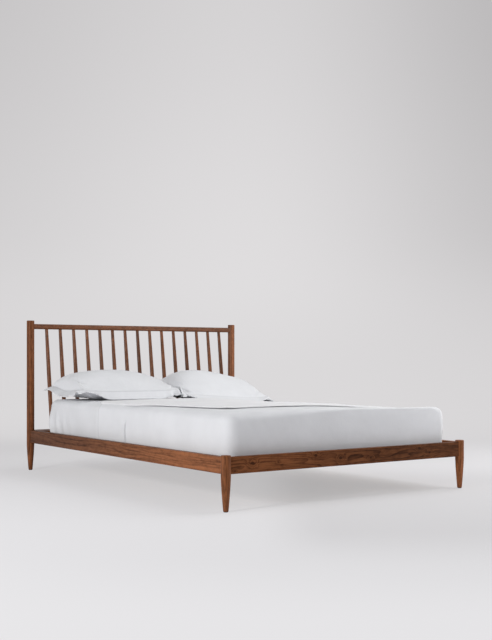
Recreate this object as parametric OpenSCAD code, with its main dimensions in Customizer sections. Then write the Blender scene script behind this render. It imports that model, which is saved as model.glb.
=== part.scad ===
// Wooden double bed with a leaning spindle headboard, slatted base, mattress,
// sheets and two pillows in flanged cases. Millimetres, +Z up, head end at +Y.
// The origin is on the floor under the middle of the bed's outline.

/* [Mattress] */
// Width of the bare mattress
mattress_w = 1344; // [1000:2:1800]
// Length of the bare mattress
mattress_l = 1894; // [1500:2:2100]
// Height of the bare mattress at its edge
mattress_h = 214; // [140:1:280]
// Rise of the mattress top from its edge to its middle
mattress_crown = 5; // [0:1:15]
// Room from the mattress to each side rail
room_side = 42; // [12:1:60]
// Room from the mattress to the foot rail and to the seat rail
room_end = 35; // [12:1:60]

/* [Posts] */
// Diameter of the four posts
post_d = 45; // [40:1:60]
// Height of the two foot posts
foot_post_h = 248; // [242:1:300]
// Height of the two head posts
head_post_h = 896; // [884:1:1100]
// Diameter of each post at its foot
post_foot_d = 24; // [20:1:36]
// Drop from the underside of the rails to where the taper starts
taper_drop = 10; // [4:1:60]
// Radius of the rounded edge at the top of a post
post_edge_r = 3.5; // [1:0.5:8]

/* [Rails] */
// Height of the side and foot rails
rail_h = 75; // [70:1:110]
// Thickness of the rails
rail_t = 28; // [26:1:36]
// Height of the rails' top edge over the floor
rail_top = 240; // [232:1:244]
// Radius of the rails' long edges
rail_edge_r = 2; // [1:0.5:5]

/* [Headboard] */
// Thickness of the seat rail that holds the spindles' feet
seat_t = 28; // [24:1:34]
// Reach of the seat rail's front edge ahead of the head posts' axes
seat_reach = 108; // [96:1:130]
// Height of the top rail's section
top_rail_h = 31; // [26:1:40]
// Depth of the top rail's section
top_rail_w = 30; // [26:1:40]
// Radius of the top rail's long edges
top_rail_r = 9; // [3:0.5:12]
// Drop from the head posts' tops to the top rail's upper face
top_rail_drop = 20; // [8:1:60]
// Distance from a head post's axis to the nearest spindle's axis
spindle_first = 103.5; // [70:0.5:140]
// How far a spindle's foot stands ahead of its head
spindle_lean = 77; // [40:1:82]
// Diameter of a spindle where it meets the top rail
spindle_head_d = 19; // [15:0.5:22]
// Diameter of a spindle where it meets the seat rail
spindle_foot_d = 20; // [15:0.5:24]
// Extra diameter in the middle of a spindle
spindle_swell = 5; // [0:0.5:8]

/* [Slatted base] */
// Width of a slat
slat_w = 70; // [50:1:90]
// Thickness of a slat
slat_t = 18; // [14:1:22]
// Distance from the foot rail's inner face to the first slat
slat_first = 68; // [66:1:100]
// Distance from the last slat to the head rail's inner face
slat_last = 138; // [110:1:180]
// Width of the ledges that carry the slats
ledge_w = 24; // [20:1:34]
// Height of the ledges
ledge_h = 20; // [17:1:24]
// Rise of the ledges from the rails' underside
ledge_rise = 2; // [0:1:6]
// Width of the steel centre beam
beam_w = 40; // [34:1:60]
// Height of the steel centre beam
beam_h = 20; // [18:1:22]
// Wall of the steel centre beam
beam_wall = 1.5; // [1:0.25:2.5]
// Diameter of the centre leg
leg_d = 36; // [30:1:50]
// Height of the gap under the centre leg that the levelling foot fills
leg_gap = 20; // [18:1:30]
// Travel of the levelling foot
level_travel = 12; // [6:1:12]

/* [Metalwork] */
// Thickness of the steel brackets
plate_t = 3; // [2:0.5:4]
// Length of a corner bracket's legs
bracket_l = 60; // [54:1:64]
// Height of a corner bracket
bracket_h = 30; // [24:1:32]
// Shank diameter of the bracket screws
bracket_screw_d = 6; // [5:0.5:6]
// Length of the bracket screws under their heads
bracket_screw_l = 22; // [16:1:24]
// Shank diameter of the wood screws
wood_screw_d = 4.5; // [3.5:0.5:5]
// Diameter of the levelling foot's stud
stud_d = 8; // [6:1:10]

/* [Joinery] */
// Diameter of the spindles' tenons
spindle_tenon_d = 12; // [10:0.5:14]
// Length of the spindles' tenons
spindle_tenon_l = 18; // [14:1:20]
// Thickness of the rails' tenons
tenon_t = 10; // [8:1:12]
// Length of the rails' tenons into the posts
tenon_l = 19; // [14:1:19]
// Height that a tenon leaves free above and below itself
tenon_shoulder = 10; // [6:1:14]
// Diameter of the top rail's round tenons
top_tenon_d = 18; // [14:1:22]
// Diameter of the dowels
dowel_d = 10; // [8:1:10]
// Length of a dowel in the post
dowel_in_post = 13; // [10:1:14]
// Length of a dowel in the rail
dowel_in_rail = 27; // [15:1:40]
// Height of the dowels above and below the middle of the side rails
dowel_rise = 22; // [20:1:28]
// Diameter of the glides under the posts
glide_d = 20; // [14:1:24]
// Thickness of the glides
glide_t = 3; // [2:0.5:6]

/* [Bedding] */
// Thickness of each sheet
sheet_t = 2; // [1:0.25:3]
// Distance from the head end of the mattress to the edge of the top sheet
sheet_open = 616; // [560:2:800]
// Thickness of the top sheet's turned-down layer
turn_t = 5; // [3:0.5:10]
// Length of the turned-down layer
turn_l = 1035; // [300:5:1100]
// Distance from the turned-down layer's edges to the mattress's sides
turn_inset = 48; // [40:1:120]
// How far the sheets are tucked under the mattress
tuck = 120; // [60:5:200]
// Length of a pillow between its end seams
pillow_l = 620; // [560:5:700]
// Width of a pillow between its long seams
pillow_w = 420; // [380:5:460]
// Width of the flange round a pillow case
flange_w = 50; // [30:1:60]
// Height of a pillow's crest over the sheet
pillow_h = 170; // [130:1:200]
// Height of a pillow's seam over the sheet
seam_rise = 48; // [30:1:55]
// Thickness of a pillow case's flange
case_t = 6; // [4:0.5:8]
// Room between the two pillows
pillow_room = 10; // [6:1:30]
// Distance from the pillows' back seams to the mattress's head end
pillow_back = -2; // [-20:1:60]
// How far the pair of pillows lies to the left of the middle
pillow_aside = 15; // [-20:1:20]

/* [Clearances] */
// Radial clearance of a glued or screwed round fit
fit = 0.05; // [0.02:0.01:0.1]
// Clearance at the ends of pieces that are fitted between others
end_room = 0.2; // [0.1:0.05:0.5]
// Clearance round soft pieces
soft_room = 0.3; // [0.2:0.05:0.5]

/* [Hidden] */
$fn = 48;

// Colours
walnut = [0.36, 0.21, 0.13];
pine = [0.78, 0.64, 0.45];
steel = [0.16, 0.16, 0.17];
zinc = [0.72, 0.72, 0.74];
beech = [0.80, 0.65, 0.48];
nylon = [0.12, 0.12, 0.12];
cotton = [0.93, 0.94, 0.95];
ticking = [0.86, 0.85, 0.82];

// Places of the frame
post_r = post_d / 2;
// Rounded, so that the faces which touch lie at round distances
rail_in = round(10 * (post_r * cos(45) + 2 * fit)) / 10;
rail_proud = rail_t - rail_in;
rail_mid = rail_t / 2 - rail_in;
post_x = mattress_w / 2 + room_side + rail_in;
post_y = (mattress_l + 2 * room_end + rail_in + seat_reach) / 2;
inner_x = post_x - rail_in;
inner_y = post_y - rail_in;
rail_low = rail_top - rail_h;
rail_mid_z = rail_top - rail_h / 2;
seat_low = rail_top - seat_t;
seat_front = post_y - seat_reach;
cope_r = post_r + fit;
taper_top = rail_low - taper_drop;
glide_pin_d = 4;
glide_pin_l = 12;
bore_spare = 1.5;

// Places of the headboard
spindle_n = 15;
spindle_pitch = 2 * (post_x - spindle_first) / (spindle_n - 1);
top_rail_high = head_post_h - top_rail_drop;
top_rail_z = top_rail_high - top_rail_h / 2;
top_rail_low = top_rail_high - top_rail_h;
spindle_rise = top_rail_low - rail_top;
spindle_angle = atan2(spindle_lean, spindle_rise);
spindle_span = norm([spindle_lean, spindle_rise]);
spindle_seat = 3;
spindle_steps = 10;

// Places of the slatted base
slat_n = 14;
slat_low = rail_low + ledge_rise + ledge_h;
slat_top = slat_low + slat_t;
slat_y0 = -inner_y + slat_first + slat_w / 2;
slat_y1 = inner_y - slat_last - slat_w / 2;
slat_pitch = (slat_y1 - slat_y0) / (slat_n - 1);
slat_room = 1.5;
slat_half = inner_x - slat_room;
slat_edge_r = 2;
ledge_x = inner_x - ledge_w / 2;
ledge_spare = 2;
ledge_y0 = slat_y0 - slat_w / 2 - ledge_spare;
ledge_y1 = slat_y1 + slat_w / 2 + ledge_spare;
beam_low = slat_low - beam_h;
beam_y = inner_y - plate_t - end_room;
hanger_deep = 28;
hanger_wing = 15;
hanger_half = beam_w / 2 + end_room + plate_t + hanger_wing;
hanger_high = beam_low + bracket_h;
leg_slat = floor(slat_n / 2);
leg_y = slat_y0 + leg_slat * slat_pitch;
leg_bore_l = leg_gap + level_travel + 14;
stud_top = leg_bore_l - level_travel + leg_gap - 4;
insert_wall = 2.5;
insert_r = stud_d / 2 + insert_wall;
insert_l = 22;
leg_bolt_d = 8;
leg_bolt_in = 42;
leg_bolt_out = 11;
leg_nut_d = 15;
leg_nut_t = 6.5;
foot_disc_r = leg_d / 2 - 1;
foot_disc_t = 6;

// Places of the metalwork
bracket_z = rail_mid_z - rail_h / 2 + ledge_rise + bracket_h;
bracket_hole_1 = 22;
bracket_hole_2 = bracket_l - 12;
screw_head_t = 3;
screw_head_wide = 0.95;
bracket_head_r = bracket_screw_d * screw_head_wide;
wood_head_r = wood_screw_d * screw_head_wide;
wood_head_t = 2.5;
ledge_screw_l = ledge_w + 17;
slat_screw_l = slat_t + 13;

// Places of the dowels and tenons
tenon_end = post_r - tenon_l;
seat_dowel_n = 5;
seat_dowel_d = 8;
seat_dowel_l = 36;

// Places of the bedding
mattress_y0 = -inner_y + room_end;
mattress_y = mattress_y0 + mattress_l / 2;
mattress_z = slat_top + soft_room + 2 * (sheet_t + soft_room);
mattress_corner_r = 45;
mattress_edge_r = 40;
mattress_low_r = 22;
mattress_bulge = 3;
crown_flat = 40;
crown_span = mattress_w / 2 - mattress_edge_r - crown_flat;
fitted_in = soft_room;
fitted_out = fitted_in + sheet_t;
top_in = fitted_out + soft_room;
top_out = top_in + sheet_t;
sheet_edge_y = mattress_y0 + mattress_l - sheet_open;
bed_high = mattress_z + mattress_h + mattress_crown + top_out + turn_t;
flange_inner = 0.3 * flange_w;
flange_front = 0.35 * flange_w;
pillow_x = pillow_room / 2 + flange_inner + pillow_l / 2;
pillow_y = mattress_y0 + mattress_l - pillow_back - pillow_w / 2;
pillow_front = pillow_back + pillow_w + flange_front;
pillow_z = mattress_z + mattress_h + fitted_out + crown_at(pillow_front) + soft_room;
// The form of each pillow: slope of its outer and its inner end, skew of its crest along and
// across, sink of its front seam, droop of its outer flange at the front and at the back, and
// rise of its inner flange
form_left = [0.36, 0.44, 0.11, -0.08, 0, 34, -16, 8];
form_right = [0.36, 0.70, -0.15, -0.22, 24, 46, 20, 42];
// The ruffles of each front flange: place along the pillow, width and lift off the sheet
ruffles_left = [[-1.02, 0.24, 26], [0.98, 0.16, 14]];
ruffles_right = [[1, 0.18, 14], [-0.84, 0.09, 12]];

// A bar along +Z with a rounded rectangular section
module bar(x, y, length, r) {
    linear_extrude(length) {
        square([x - 2 * r, y], center = true);
        square([x, y - 2 * r], center = true);
        for (i = [-1, 1], j = [-1, 1])
            translate([i * (x / 2 - r), j * (y / 2 - r)]) circle(r);
    }
}

// The same bar laid along X, centred on it
module bar_x(length, y, z, r) {
    translate([-length / 2, 0, 0]) rotate([90, 0, 90]) bar(y, z, length, r);
}

// The same bar laid along Y, centred on it
module bar_y(x, length, z, r) {
    translate([0, length / 2, 0]) rotate([90, 0, 0]) bar(x, z, length, r);
}

module hole(at, dir, r, length) {
    translate(at) rotate(dir) cylinder(r = r, h = length);
}

// Half outline of a post: a foot, a swelling taper, a straight shaft and a rounded top
function taper_r(t) =
    post_foot_d / 2 + (post_d - post_foot_d) / 2 * (1 - pow(1 - t, 1.3));

module post(height) {
    steps = 8;
    rotate_extrude($fn = 64)
        polygon(concat(
            [[0, glide_t], [post_foot_d / 2 - 1, glide_t]],
            [for (i = [0:steps])
                let (t = i / steps)
                [taper_r(t), glide_t + 1 + t * (taper_top - glide_t - 1)]],
            [for (a = [0:30:90])
                [post_r - post_edge_r + post_edge_r * cos(a),
                 height - post_edge_r + post_edge_r * sin(a)]],
            [[0, height]]));
}

module glide_bore() {
    hole([0, 0, glide_t - 1], [0, 0, 0], glide_pin_d / 2 + fit, glide_pin_l + bore_spare);
}

module rail_mortise(low, high, side) {
    translate([side * ((tenon_end + post_r) / 2), 0, (low + high) / 2])
        cube([tenon_l + 2 * end_room, tenon_t + 2 * fit, high - low + 2 * fit],
             center = true);
}

module foot_post(side) {
    color(walnut)
    translate([side * post_x, -post_y, 0])
    difference() {
        post(foot_post_h);
        glide_bore();
        rail_mortise(rail_low + tenon_shoulder, rail_top - tenon_shoulder, -side);
        for (s = [-1, 1])
            hole([side * rail_mid, post_r - dowel_in_post - 0.5,
                  rail_mid_z + s * dowel_rise],
                 [-90, 0, 0], dowel_d / 2 + fit, post_r);
    }
}

module head_post(side) {
    color(walnut)
    translate([side * post_x, post_y, 0])
    difference() {
        post(head_post_h);
        glide_bore();
        rail_mortise(rail_low + tenon_shoulder, seat_low - tenon_shoulder, -side);
        for (s = [-1, 1])
            hole([side * rail_mid, -(post_r - dowel_in_post - 0.5),
                  rail_mid_z + s * dowel_rise],
                 [90, 0, 0], dowel_d / 2 + fit, post_r);
        hole([-side * tenon_end, 0, top_rail_z], [0, -side * 90, 0],
             top_tenon_d / 2 + fit, tenon_l + 1);
    }
}

// Bracket holes in a piece whose inner face lies across the given direction
module bracket_holes(points, dir) {
    for (p = points)
        hole(p, dir, bracket_screw_d / 2 + fit, bracket_screw_l + 1);
}

function corner_side_points(side) =
    [for (e = [-1, 1], d = [bracket_hole_1, bracket_hole_2])
        [side * (inner_x - 1), e * (inner_y - d), bracket_z]];

function corner_end_points(e) =
    [for (side = [-1, 1], d = [bracket_hole_1, bracket_hole_2])
        [side * (inner_x - d), e * (inner_y - 1), bracket_z]];

function hanger_points(e) =
    [for (s = [-1, 1])
        [s * (hanger_half - hanger_wing / 2), e * (inner_y - 1),
         (beam_low + hanger_high) / 2]];

function ledge_screw_y() = [for (i = [0:2:slat_n - 2]) slat_y0 + (i + 0.5) * slat_pitch];

module side_rail(side) {
    color(walnut)
    difference() {
        translate([side * (post_x + rail_mid), 0, rail_mid_z])
            bar_y(rail_t, 2 * post_y, rail_h, rail_edge_r);
        for (e = [-1, 1]) {
            translate([side * post_x, e * post_y, rail_low - 1])
                cylinder(r = cope_r, h = rail_h + 2, $fn = 64);
            for (s = [-1, 1])
                hole([side * (post_x + rail_mid), e * (post_y - post_r + 4),
                      rail_mid_z + s * dowel_rise],
                     [e * 90, 0, 0], dowel_d / 2 + fit, dowel_in_rail + 5);
        }
        bracket_holes(corner_side_points(side), [0, side * 90, 0]);
        for (y = ledge_screw_y())
            hole([side * (inner_x - 1), y, slat_low - ledge_h / 2], [0, side * 90, 0],
                 wood_screw_d / 2 + fit, ledge_screw_l - ledge_w + 2);
    }
}

// A rail between two posts, coped round them, with a tenon at each end
module cross_rail(low, high) {
    difference() {
        translate([0, rail_mid, (low + high) / 2])
            bar_x(2 * post_x, rail_t, high - low, rail_edge_r);
        for (side = [-1, 1])
            translate([side * post_x, 0, low - 1])
                cylinder(r = cope_r, h = high - low + 2, $fn = 64);
    }
    reach = post_x - tenon_end;
    for (side = [-1, 1])
        translate([side * (reach - (tenon_l + 4) / 2), 0, (low + high) / 2])
            cube([tenon_l + 4, tenon_t, high - low - 2 * tenon_shoulder], center = true);
}

module foot_rail() {
    color(walnut)
    difference() {
        translate([0, -post_y, 0]) mirror([0, 1, 0]) cross_rail(rail_low, rail_top);
        bracket_holes(corner_end_points(-1), [90, 0, 0]);
        bracket_holes(hanger_points(-1), [90, 0, 0]);
    }
}

module head_rail() {
    color(walnut)
    difference() {
        translate([0, post_y, 0]) cross_rail(rail_low, seat_low);
        bracket_holes(corner_end_points(1), [-90, 0, 0]);
        bracket_holes(hanger_points(1), [-90, 0, 0]);
        seat_dowel_bores();
    }
}

function seat_dowel_x(i) = (i - (seat_dowel_n - 1) / 2) * 2 * inner_x / seat_dowel_n;

module seat_dowel_bores() {
    for (i = [0:seat_dowel_n - 1])
        hole([seat_dowel_x(i), post_y + rail_mid, seat_low - seat_dowel_l / 2 - 0.5],
             [0, 0, 0], seat_dowel_d / 2 + fit, seat_dowel_l + 1);
}

function spindle_x(i) = (i - (spindle_n - 1) / 2) * spindle_pitch;

// Puts a spindle's own frame in place: its foot at the seat rail, its axis leaning back
module at_spindle(i) {
    translate([spindle_x(i), post_y - spindle_lean, rail_top])
        rotate([-spindle_angle, 0, 0]) children();
}

module spindle_bores(from, length) {
    for (i = [0:spindle_n - 1])
        at_spindle(i) translate([0, 0, from])
            cylinder(r = spindle_tenon_d / 2 + fit, h = length);
}

module spindle_seats(from, d) {
    for (i = [0:spindle_n - 1])
        at_spindle(i) translate([0, 0, from])
            cylinder(r = d / 2 + fit, h = 2 * spindle_seat);
}

// The wide lower board of the headboard, notched round the posts
module seat_rail() {
    back = post_y + rail_proud;
    color(walnut)
    difference() {
        translate([0, (seat_front + back) / 2, rail_top - seat_t / 2])
            bar_x(2 * (inner_x - end_room), back - seat_front, seat_t, rail_edge_r);
        for (side = [-1, 1])
            translate([side * post_x, post_y, seat_low - 1])
                cylinder(r = cope_r, h = seat_t + 2, $fn = 64);
        seat_dowel_bores();
        spindle_bores(-spindle_tenon_l - spindle_seat, spindle_tenon_l + 4 * spindle_seat);
        spindle_seats(-spindle_seat, spindle_foot_d);
    }
}

// The rounded top bar, with a round tenon at each end
module top_rail() {
    color(walnut)
    difference() {
        translate([0, post_y, top_rail_z]) {
            difference() {
                bar_x(2 * post_x, top_rail_w, top_rail_h, top_rail_r);
                for (side = [-1, 1])
                    translate([side * post_x, 0, -top_rail_h])
                        cylinder(r = cope_r, h = 2 * top_rail_h, $fn = 64);
            }
            for (side = [-1, 1])
                translate([side * (post_x - tenon_end - tenon_l - 3), 0, 0])
                    rotate([0, side * 90, 0])
                        cylinder(d = top_tenon_d, h = tenon_l + 3 - end_room);
        }
        spindle_bores(spindle_span - 2 * spindle_seat,
                      spindle_tenon_l + 3 * spindle_seat);
        spindle_seats(spindle_span - spindle_seat, spindle_head_d);
    }
}

// A turned spindle with a slow swell and a tenon at each end
function spindle_r(t) =
    (spindle_foot_d * (1 - t) + spindle_head_d * t + spindle_swell * pow(sin(180 * t), 1.2)) / 2;

module spindle(i) {
    low = -spindle_seat + end_room;
    high = spindle_span - end_room;
    color(walnut)
    at_spindle(i)
    rotate_extrude($fn = 32)
        polygon(concat(
            [[0, -spindle_tenon_l - spindle_seat + 1],
             [spindle_tenon_d / 2, -spindle_tenon_l - spindle_seat + 1],
             [spindle_tenon_d / 2, low]],
            [for (k = [0:spindle_steps])
                let (t = k / spindle_steps) [spindle_r(t), low + t * (high - low)]],
            [[spindle_tenon_d / 2, high],
             [spindle_tenon_d / 2, spindle_span + spindle_tenon_l],
             [0, spindle_span + spindle_tenon_l]]));
}

module slat(i) {
    y = slat_y0 + i * slat_pitch;
    color(pine)
    difference() {
        translate([0, y, slat_low + slat_t / 2])
            bar_x(2 * slat_half, slat_w, slat_t, slat_edge_r);
        for (side = [-1, 1]) {
            hole([side * ledge_x, y, slat_low - 1], [0, 0, 0],
                 wood_screw_d / 2 + fit, slat_t + 2);
            hole([side * ledge_x, y, slat_top - wood_head_t - fit], [0, 0, 0],
                 wood_head_r + fit, wood_head_t + 1);
        }
    }
}

module ledge(side) {
    length = ledge_y1 - ledge_y0;
    color(pine)
    difference() {
        translate([side * ledge_x, (ledge_y0 + ledge_y1) / 2, slat_low - ledge_h / 2])
            bar_y(ledge_w, length, ledge_h, 1);
        for (y = ledge_screw_y()) {
            hole([side * (inner_x - ledge_w - 1), y, slat_low - ledge_h / 2],
                 [0, side * 90, 0], wood_screw_d / 2 + fit, ledge_w + 2);
            hole([side * (inner_x - ledge_w - 1), y, slat_low - ledge_h / 2],
                 [0, side * 90, 0], wood_head_r + fit, 1 + wood_head_t + fit);
        }
        for (i = [0:slat_n - 1])
            hole([side * ledge_x, slat_y0 + i * slat_pitch,
                  slat_top - slat_screw_l - 1],
                 [0, 0, 0], wood_screw_d / 2 + fit, slat_screw_l);
    }
}

// The hollow steel beam under the middle of the slats
module centre_beam() {
    color(steel)
    difference() {
        translate([0, 0, beam_low + beam_h / 2])
            bar_y(beam_w, 2 * beam_y, beam_h, 2);
        translate([0, 0, beam_low + beam_h / 2])
            bar_y(beam_w - 2 * beam_wall, 2 * beam_y + 2, beam_h - 2 * beam_wall, 0.75);
        hole([0, leg_y, beam_low - 1], [0, 0, 0], leg_bolt_d / 2 + fit, beam_wall + 2);
    }
}

// A bent saddle that carries one end of the beam; e is 1 at the head end
module beam_hanger(e) {
    inside = beam_w / 2 + end_room;
    color(steel)
    difference() {
        union() {
            translate([-hanger_half, e > 0 ? inner_y - plate_t : -inner_y,
                       beam_low - plate_t])
                cube([2 * hanger_half, plate_t, hanger_high - beam_low + plate_t]);
            translate([-inside - plate_t, e > 0 ? inner_y - hanger_deep : -inner_y,
                       beam_low - plate_t])
                cube([2 * (inside + plate_t), hanger_deep, plate_t]);
            for (s = [-1, 1])
                translate([s > 0 ? inside : -inside - plate_t,
                           e > 0 ? inner_y - hanger_deep : -inner_y,
                           beam_low - plate_t])
                    cube([plate_t, hanger_deep, beam_h + plate_t - end_room]);
        }
        for (p = hanger_points(e))
            hole([p[0], e * (inner_y - plate_t - 1), p[2]], [e * -90, 0, 0],
                 bracket_screw_d / 2 + fit, plate_t + 2);
    }
}

// The turned centre leg, bored below for the levelling foot and above for its bolt
module centre_leg() {
    color(beech)
    translate([0, leg_y, 0])
    difference() {
        rotate_extrude()
            polygon([[0, leg_gap], [leg_d / 2 - 4, leg_gap], [leg_d / 2 - 2, leg_gap + 2],
                     [leg_d / 2, beam_low - 2], [leg_d / 2 - 2, beam_low],
                     [0, beam_low]]);
        hole([0, 0, leg_gap - 1], [0, 0, 0], stud_d / 2 + fit, leg_bore_l + 1);
        hole([0, 0, leg_gap - 1], [0, 0, 0], insert_r + fit, insert_l + 1);
        hole([0, 0, beam_low - leg_bolt_in - 1], [0, 0, 0], leg_bolt_d / 2 + fit,
             leg_bolt_in + 2);
    }
}

// The leg's top bolt with its nut inside the beam, and the insert at its lower end
module centre_leg_fixings() {
    color(zinc)
    translate([0, leg_y, 0]) {
        translate([0, 0, beam_low - leg_bolt_in])
            cylinder(d = leg_bolt_d, h = leg_bolt_in + leg_bolt_out);
        translate([0, 0, beam_low + beam_wall + fit])
            difference() {
                cylinder(d = leg_nut_d, h = leg_nut_t, $fn = 6);
                translate([0, 0, -1]) cylinder(r = leg_bolt_d / 2 + fit, h = leg_nut_t + 2);
            }
        translate([0, 0, leg_gap])
            difference() {
                cylinder(r = insert_r, h = insert_l);
                translate([0, 0, -1]) cylinder(r = stud_d / 2 + fit, h = insert_l + 2);
            }
    }
}

module levelling_foot() {
    color(nylon)
    translate([0, leg_y, 0])
    rotate_extrude()
        polygon([[0, 0], [foot_disc_r - 1, 0], [foot_disc_r, 1],
                 [foot_disc_r, foot_disc_t - 2], [foot_disc_r - 2, foot_disc_t],
                 [stud_d / 2, foot_disc_t], [stud_d / 2, stud_top - 1],
                 [stud_d / 2 - 1, stud_top], [0, stud_top]]);
}

// A flat glide with a pin in the foot of each post
module post_glides() {
    color(nylon)
    for (side = [-1, 1], e = [-1, 1])
        translate([side * post_x, e * post_y, 0])
            rotate_extrude()
                polygon([[0, 0], [glide_d / 2 - 1, 0], [glide_d / 2, 1],
                         [glide_d / 2, glide_t], [glide_pin_d / 2, glide_t],
                         [glide_pin_d / 2, glide_t + glide_pin_l],
                         [0, glide_t + glide_pin_l]]);
}

// Four bent corner brackets between the side rails and the end rails
module corner_brackets() {
    color(steel)
    difference() {
        for (side = [-1, 1], e = [-1, 1])
            translate([side * inner_x, e * inner_y, bracket_z - bracket_h / 2]) {
                translate([side > 0 ? -plate_t : 0, e > 0 ? -bracket_l : 0, 0])
                    cube([plate_t, bracket_l, bracket_h]);
                translate([side > 0 ? -bracket_l : 0, e > 0 ? -plate_t : 0, 0])
                    cube([bracket_l, plate_t, bracket_h]);
            }
        for (side = [-1, 1], p = corner_side_points(side))
            hole([side * (inner_x - plate_t - 1), p[1], p[2]], [0, side * 90, 0],
                 bracket_screw_d / 2 + fit, plate_t + 2);
        for (e = [-1, 1], p = corner_end_points(e))
            hole([p[0], e * (inner_y - plate_t - 1), p[2]], [e * -90, 0, 0],
                 bracket_screw_d / 2 + fit, plate_t + 2);
    }
}

// A screw along +Z from the underside of its head
module screw(d, length, head_r, head_t) {
    cylinder(d = d, h = length, $fn = 24);
    translate([0, 0, -head_t]) cylinder(r = head_r, h = head_t, $fn = 24);
}

module bracket_screws() {
    color(zinc) {
        for (side = [-1, 1], p = corner_side_points(side))
            translate([side * (inner_x - plate_t), p[1], p[2]])
                rotate([0, side * 90, 0])
                    screw(bracket_screw_d, bracket_screw_l, bracket_head_r, screw_head_t);
        for (e = [-1, 1], p = concat(corner_end_points(e), hanger_points(e)))
            translate([p[0], e * (inner_y - plate_t), p[2]])
                rotate([e * -90, 0, 0])
                    screw(bracket_screw_d, bracket_screw_l, bracket_head_r, screw_head_t);
    }
}

module rail_dowels() {
    color(beech)
    for (side = [-1, 1], e = [-1, 1], s = [-1, 1])
        translate([side * (post_x + rail_mid), e * (post_y - post_r + dowel_in_post),
                   rail_mid_z + s * dowel_rise])
            rotate([e * 90, 0, 0])
                cylinder(d = dowel_d, h = dowel_in_post + dowel_in_rail, $fn = 24);
}

module seat_dowels() {
    color(beech)
    for (i = [0:seat_dowel_n - 1])
        translate([seat_dowel_x(i), post_y + rail_mid, seat_low - seat_dowel_l / 2])
            cylinder(d = seat_dowel_d, h = seat_dowel_l, $fn = 24);
}

module ledge_screws() {
    color(zinc)
    for (side = [-1, 1], y = ledge_screw_y())
        translate([side * (inner_x - ledge_w + wood_head_t), y, slat_low - ledge_h / 2])
            rotate([0, side * 90, 0])
                screw(wood_screw_d, ledge_screw_l - wood_head_t, wood_head_r, wood_head_t);
}

module slat_screws() {
    color(zinc)
    for (side = [-1, 1], i = [0:slat_n - 1])
        translate([side * ledge_x, slat_y0 + i * slat_pitch, slat_top - wood_head_t])
            rotate([180, 0, 0])
                screw(wood_screw_d, slat_screw_l - wood_head_t, wood_head_r, wood_head_t);
}

// One ring of a rounded rectangle, as half sizes a and b, corner radius r and height z
function ring(a, b, r, z, n) =
    [for (q = [0:3], k = [0:n - 1])
        let (ang = 90 * q + 90 * k / (n - 1),
             sx = (q == 0 || q == 3) ? 1 : -1, sy = q < 2 ? 1 : -1)
        [sx * (a - r) + r * cos(ang), sy * (b - r) + r * sin(ang), z]];

// Rise of the mattress's top at a distance from its edge
function crown_at(inset) =
    let (d = max(0, min(1, (inset - mattress_edge_r) / crown_span)))
    mattress_crown * (1 - pow(1 - d, 2));

// Side and height of each ring of the mattress, from its bottom to its top;
// g is how far the surface stands off the bare mattress
function soft_profile(g) =
    let (low = mattress_z - g, high = mattress_z + mattress_h + g,
         rl = mattress_low_r + g, rh = mattress_edge_r + g)
    concat(
        [for (a = [0, 30, 60, 90]) [rl * (1 - sin(a)), low + rl * (1 - cos(a))]],
        [[-mattress_bulge, (low + high) / 2]],
        [for (a = [0:18:90]) [rh * (1 - cos(a)), high - rh * (1 - sin(a))]],
        [for (d = [0.25, 0.5, 0.8])
            [rh + d * crown_span, high + crown_at(mattress_edge_r + d * crown_span)]]);

module soft_box(g) {
    n = 7;
    m = 4 * n;
    profile = soft_profile(g);
    k = len(profile);
    r = mattress_corner_r + g;
    points = concat(
        [for (p = profile)
            each ring(mattress_w / 2 + g - p[0], mattress_l / 2 + g - p[0],
                      max(r - p[0], 12), p[1], n)],
        [[0, 0, mattress_z - g], [0, 0, mattress_z + mattress_h + mattress_crown + g]]);
    faces = concat(
        [for (i = [0:k - 2], j = [0:m - 1])
            [i * m + j, i * m + (j + 1) % m, (i + 1) * m + (j + 1) % m]],
        [for (i = [0:k - 2], j = [0:m - 1])
            [i * m + j, (i + 1) * m + (j + 1) % m, (i + 1) * m + j]],
        [for (j = [0:m - 1]) [k * m, (j + 1) % m, j]],
        [for (j = [0:m - 1]) [k * m + 1, (k - 1) * m + j, (k - 1) * m + (j + 1) % m]]);
    translate([0, mattress_y, 0])
        polyhedron([for (p = points) p], [for (f = faces) [f[2], f[1], f[0]]]);
}

module mattress() {
    color(ticking) soft_box(0);
}

// The opening that the tucked edges of a sheet leave under the mattress
module tuck_window() {
    translate([0, mattress_y, mattress_z - top_out])
        cube([mattress_w - 2 * tuck, mattress_l - 2 * tuck, 4 * top_out], center = true);
}

module fitted_sheet() {
    color(cotton)
    difference() {
        soft_box(fitted_out);
        soft_box(fitted_in);
        tuck_window();
    }
}

// The top sheet ends short of the pillows; its upper layer is turned down over the rest
module top_sheet() {
    reach = mattress_l + mattress_w;
    color(cotton)
    difference() {
        union() {
            soft_box(top_out);
            intersection() {
                soft_box(top_out + turn_t);
                translate([-mattress_w / 2 + turn_inset, sheet_edge_y - turn_l,
                           bed_high - mattress_edge_r])
                    cube([mattress_w - 2 * turn_inset, turn_l, 2 * mattress_edge_r]);
            }
        }
        soft_box(top_in);
        translate([-reach / 2, sheet_edge_y, 0]) cube([reach, reach, 2 * bed_high]);
        tuck_window();
    }
}

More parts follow.
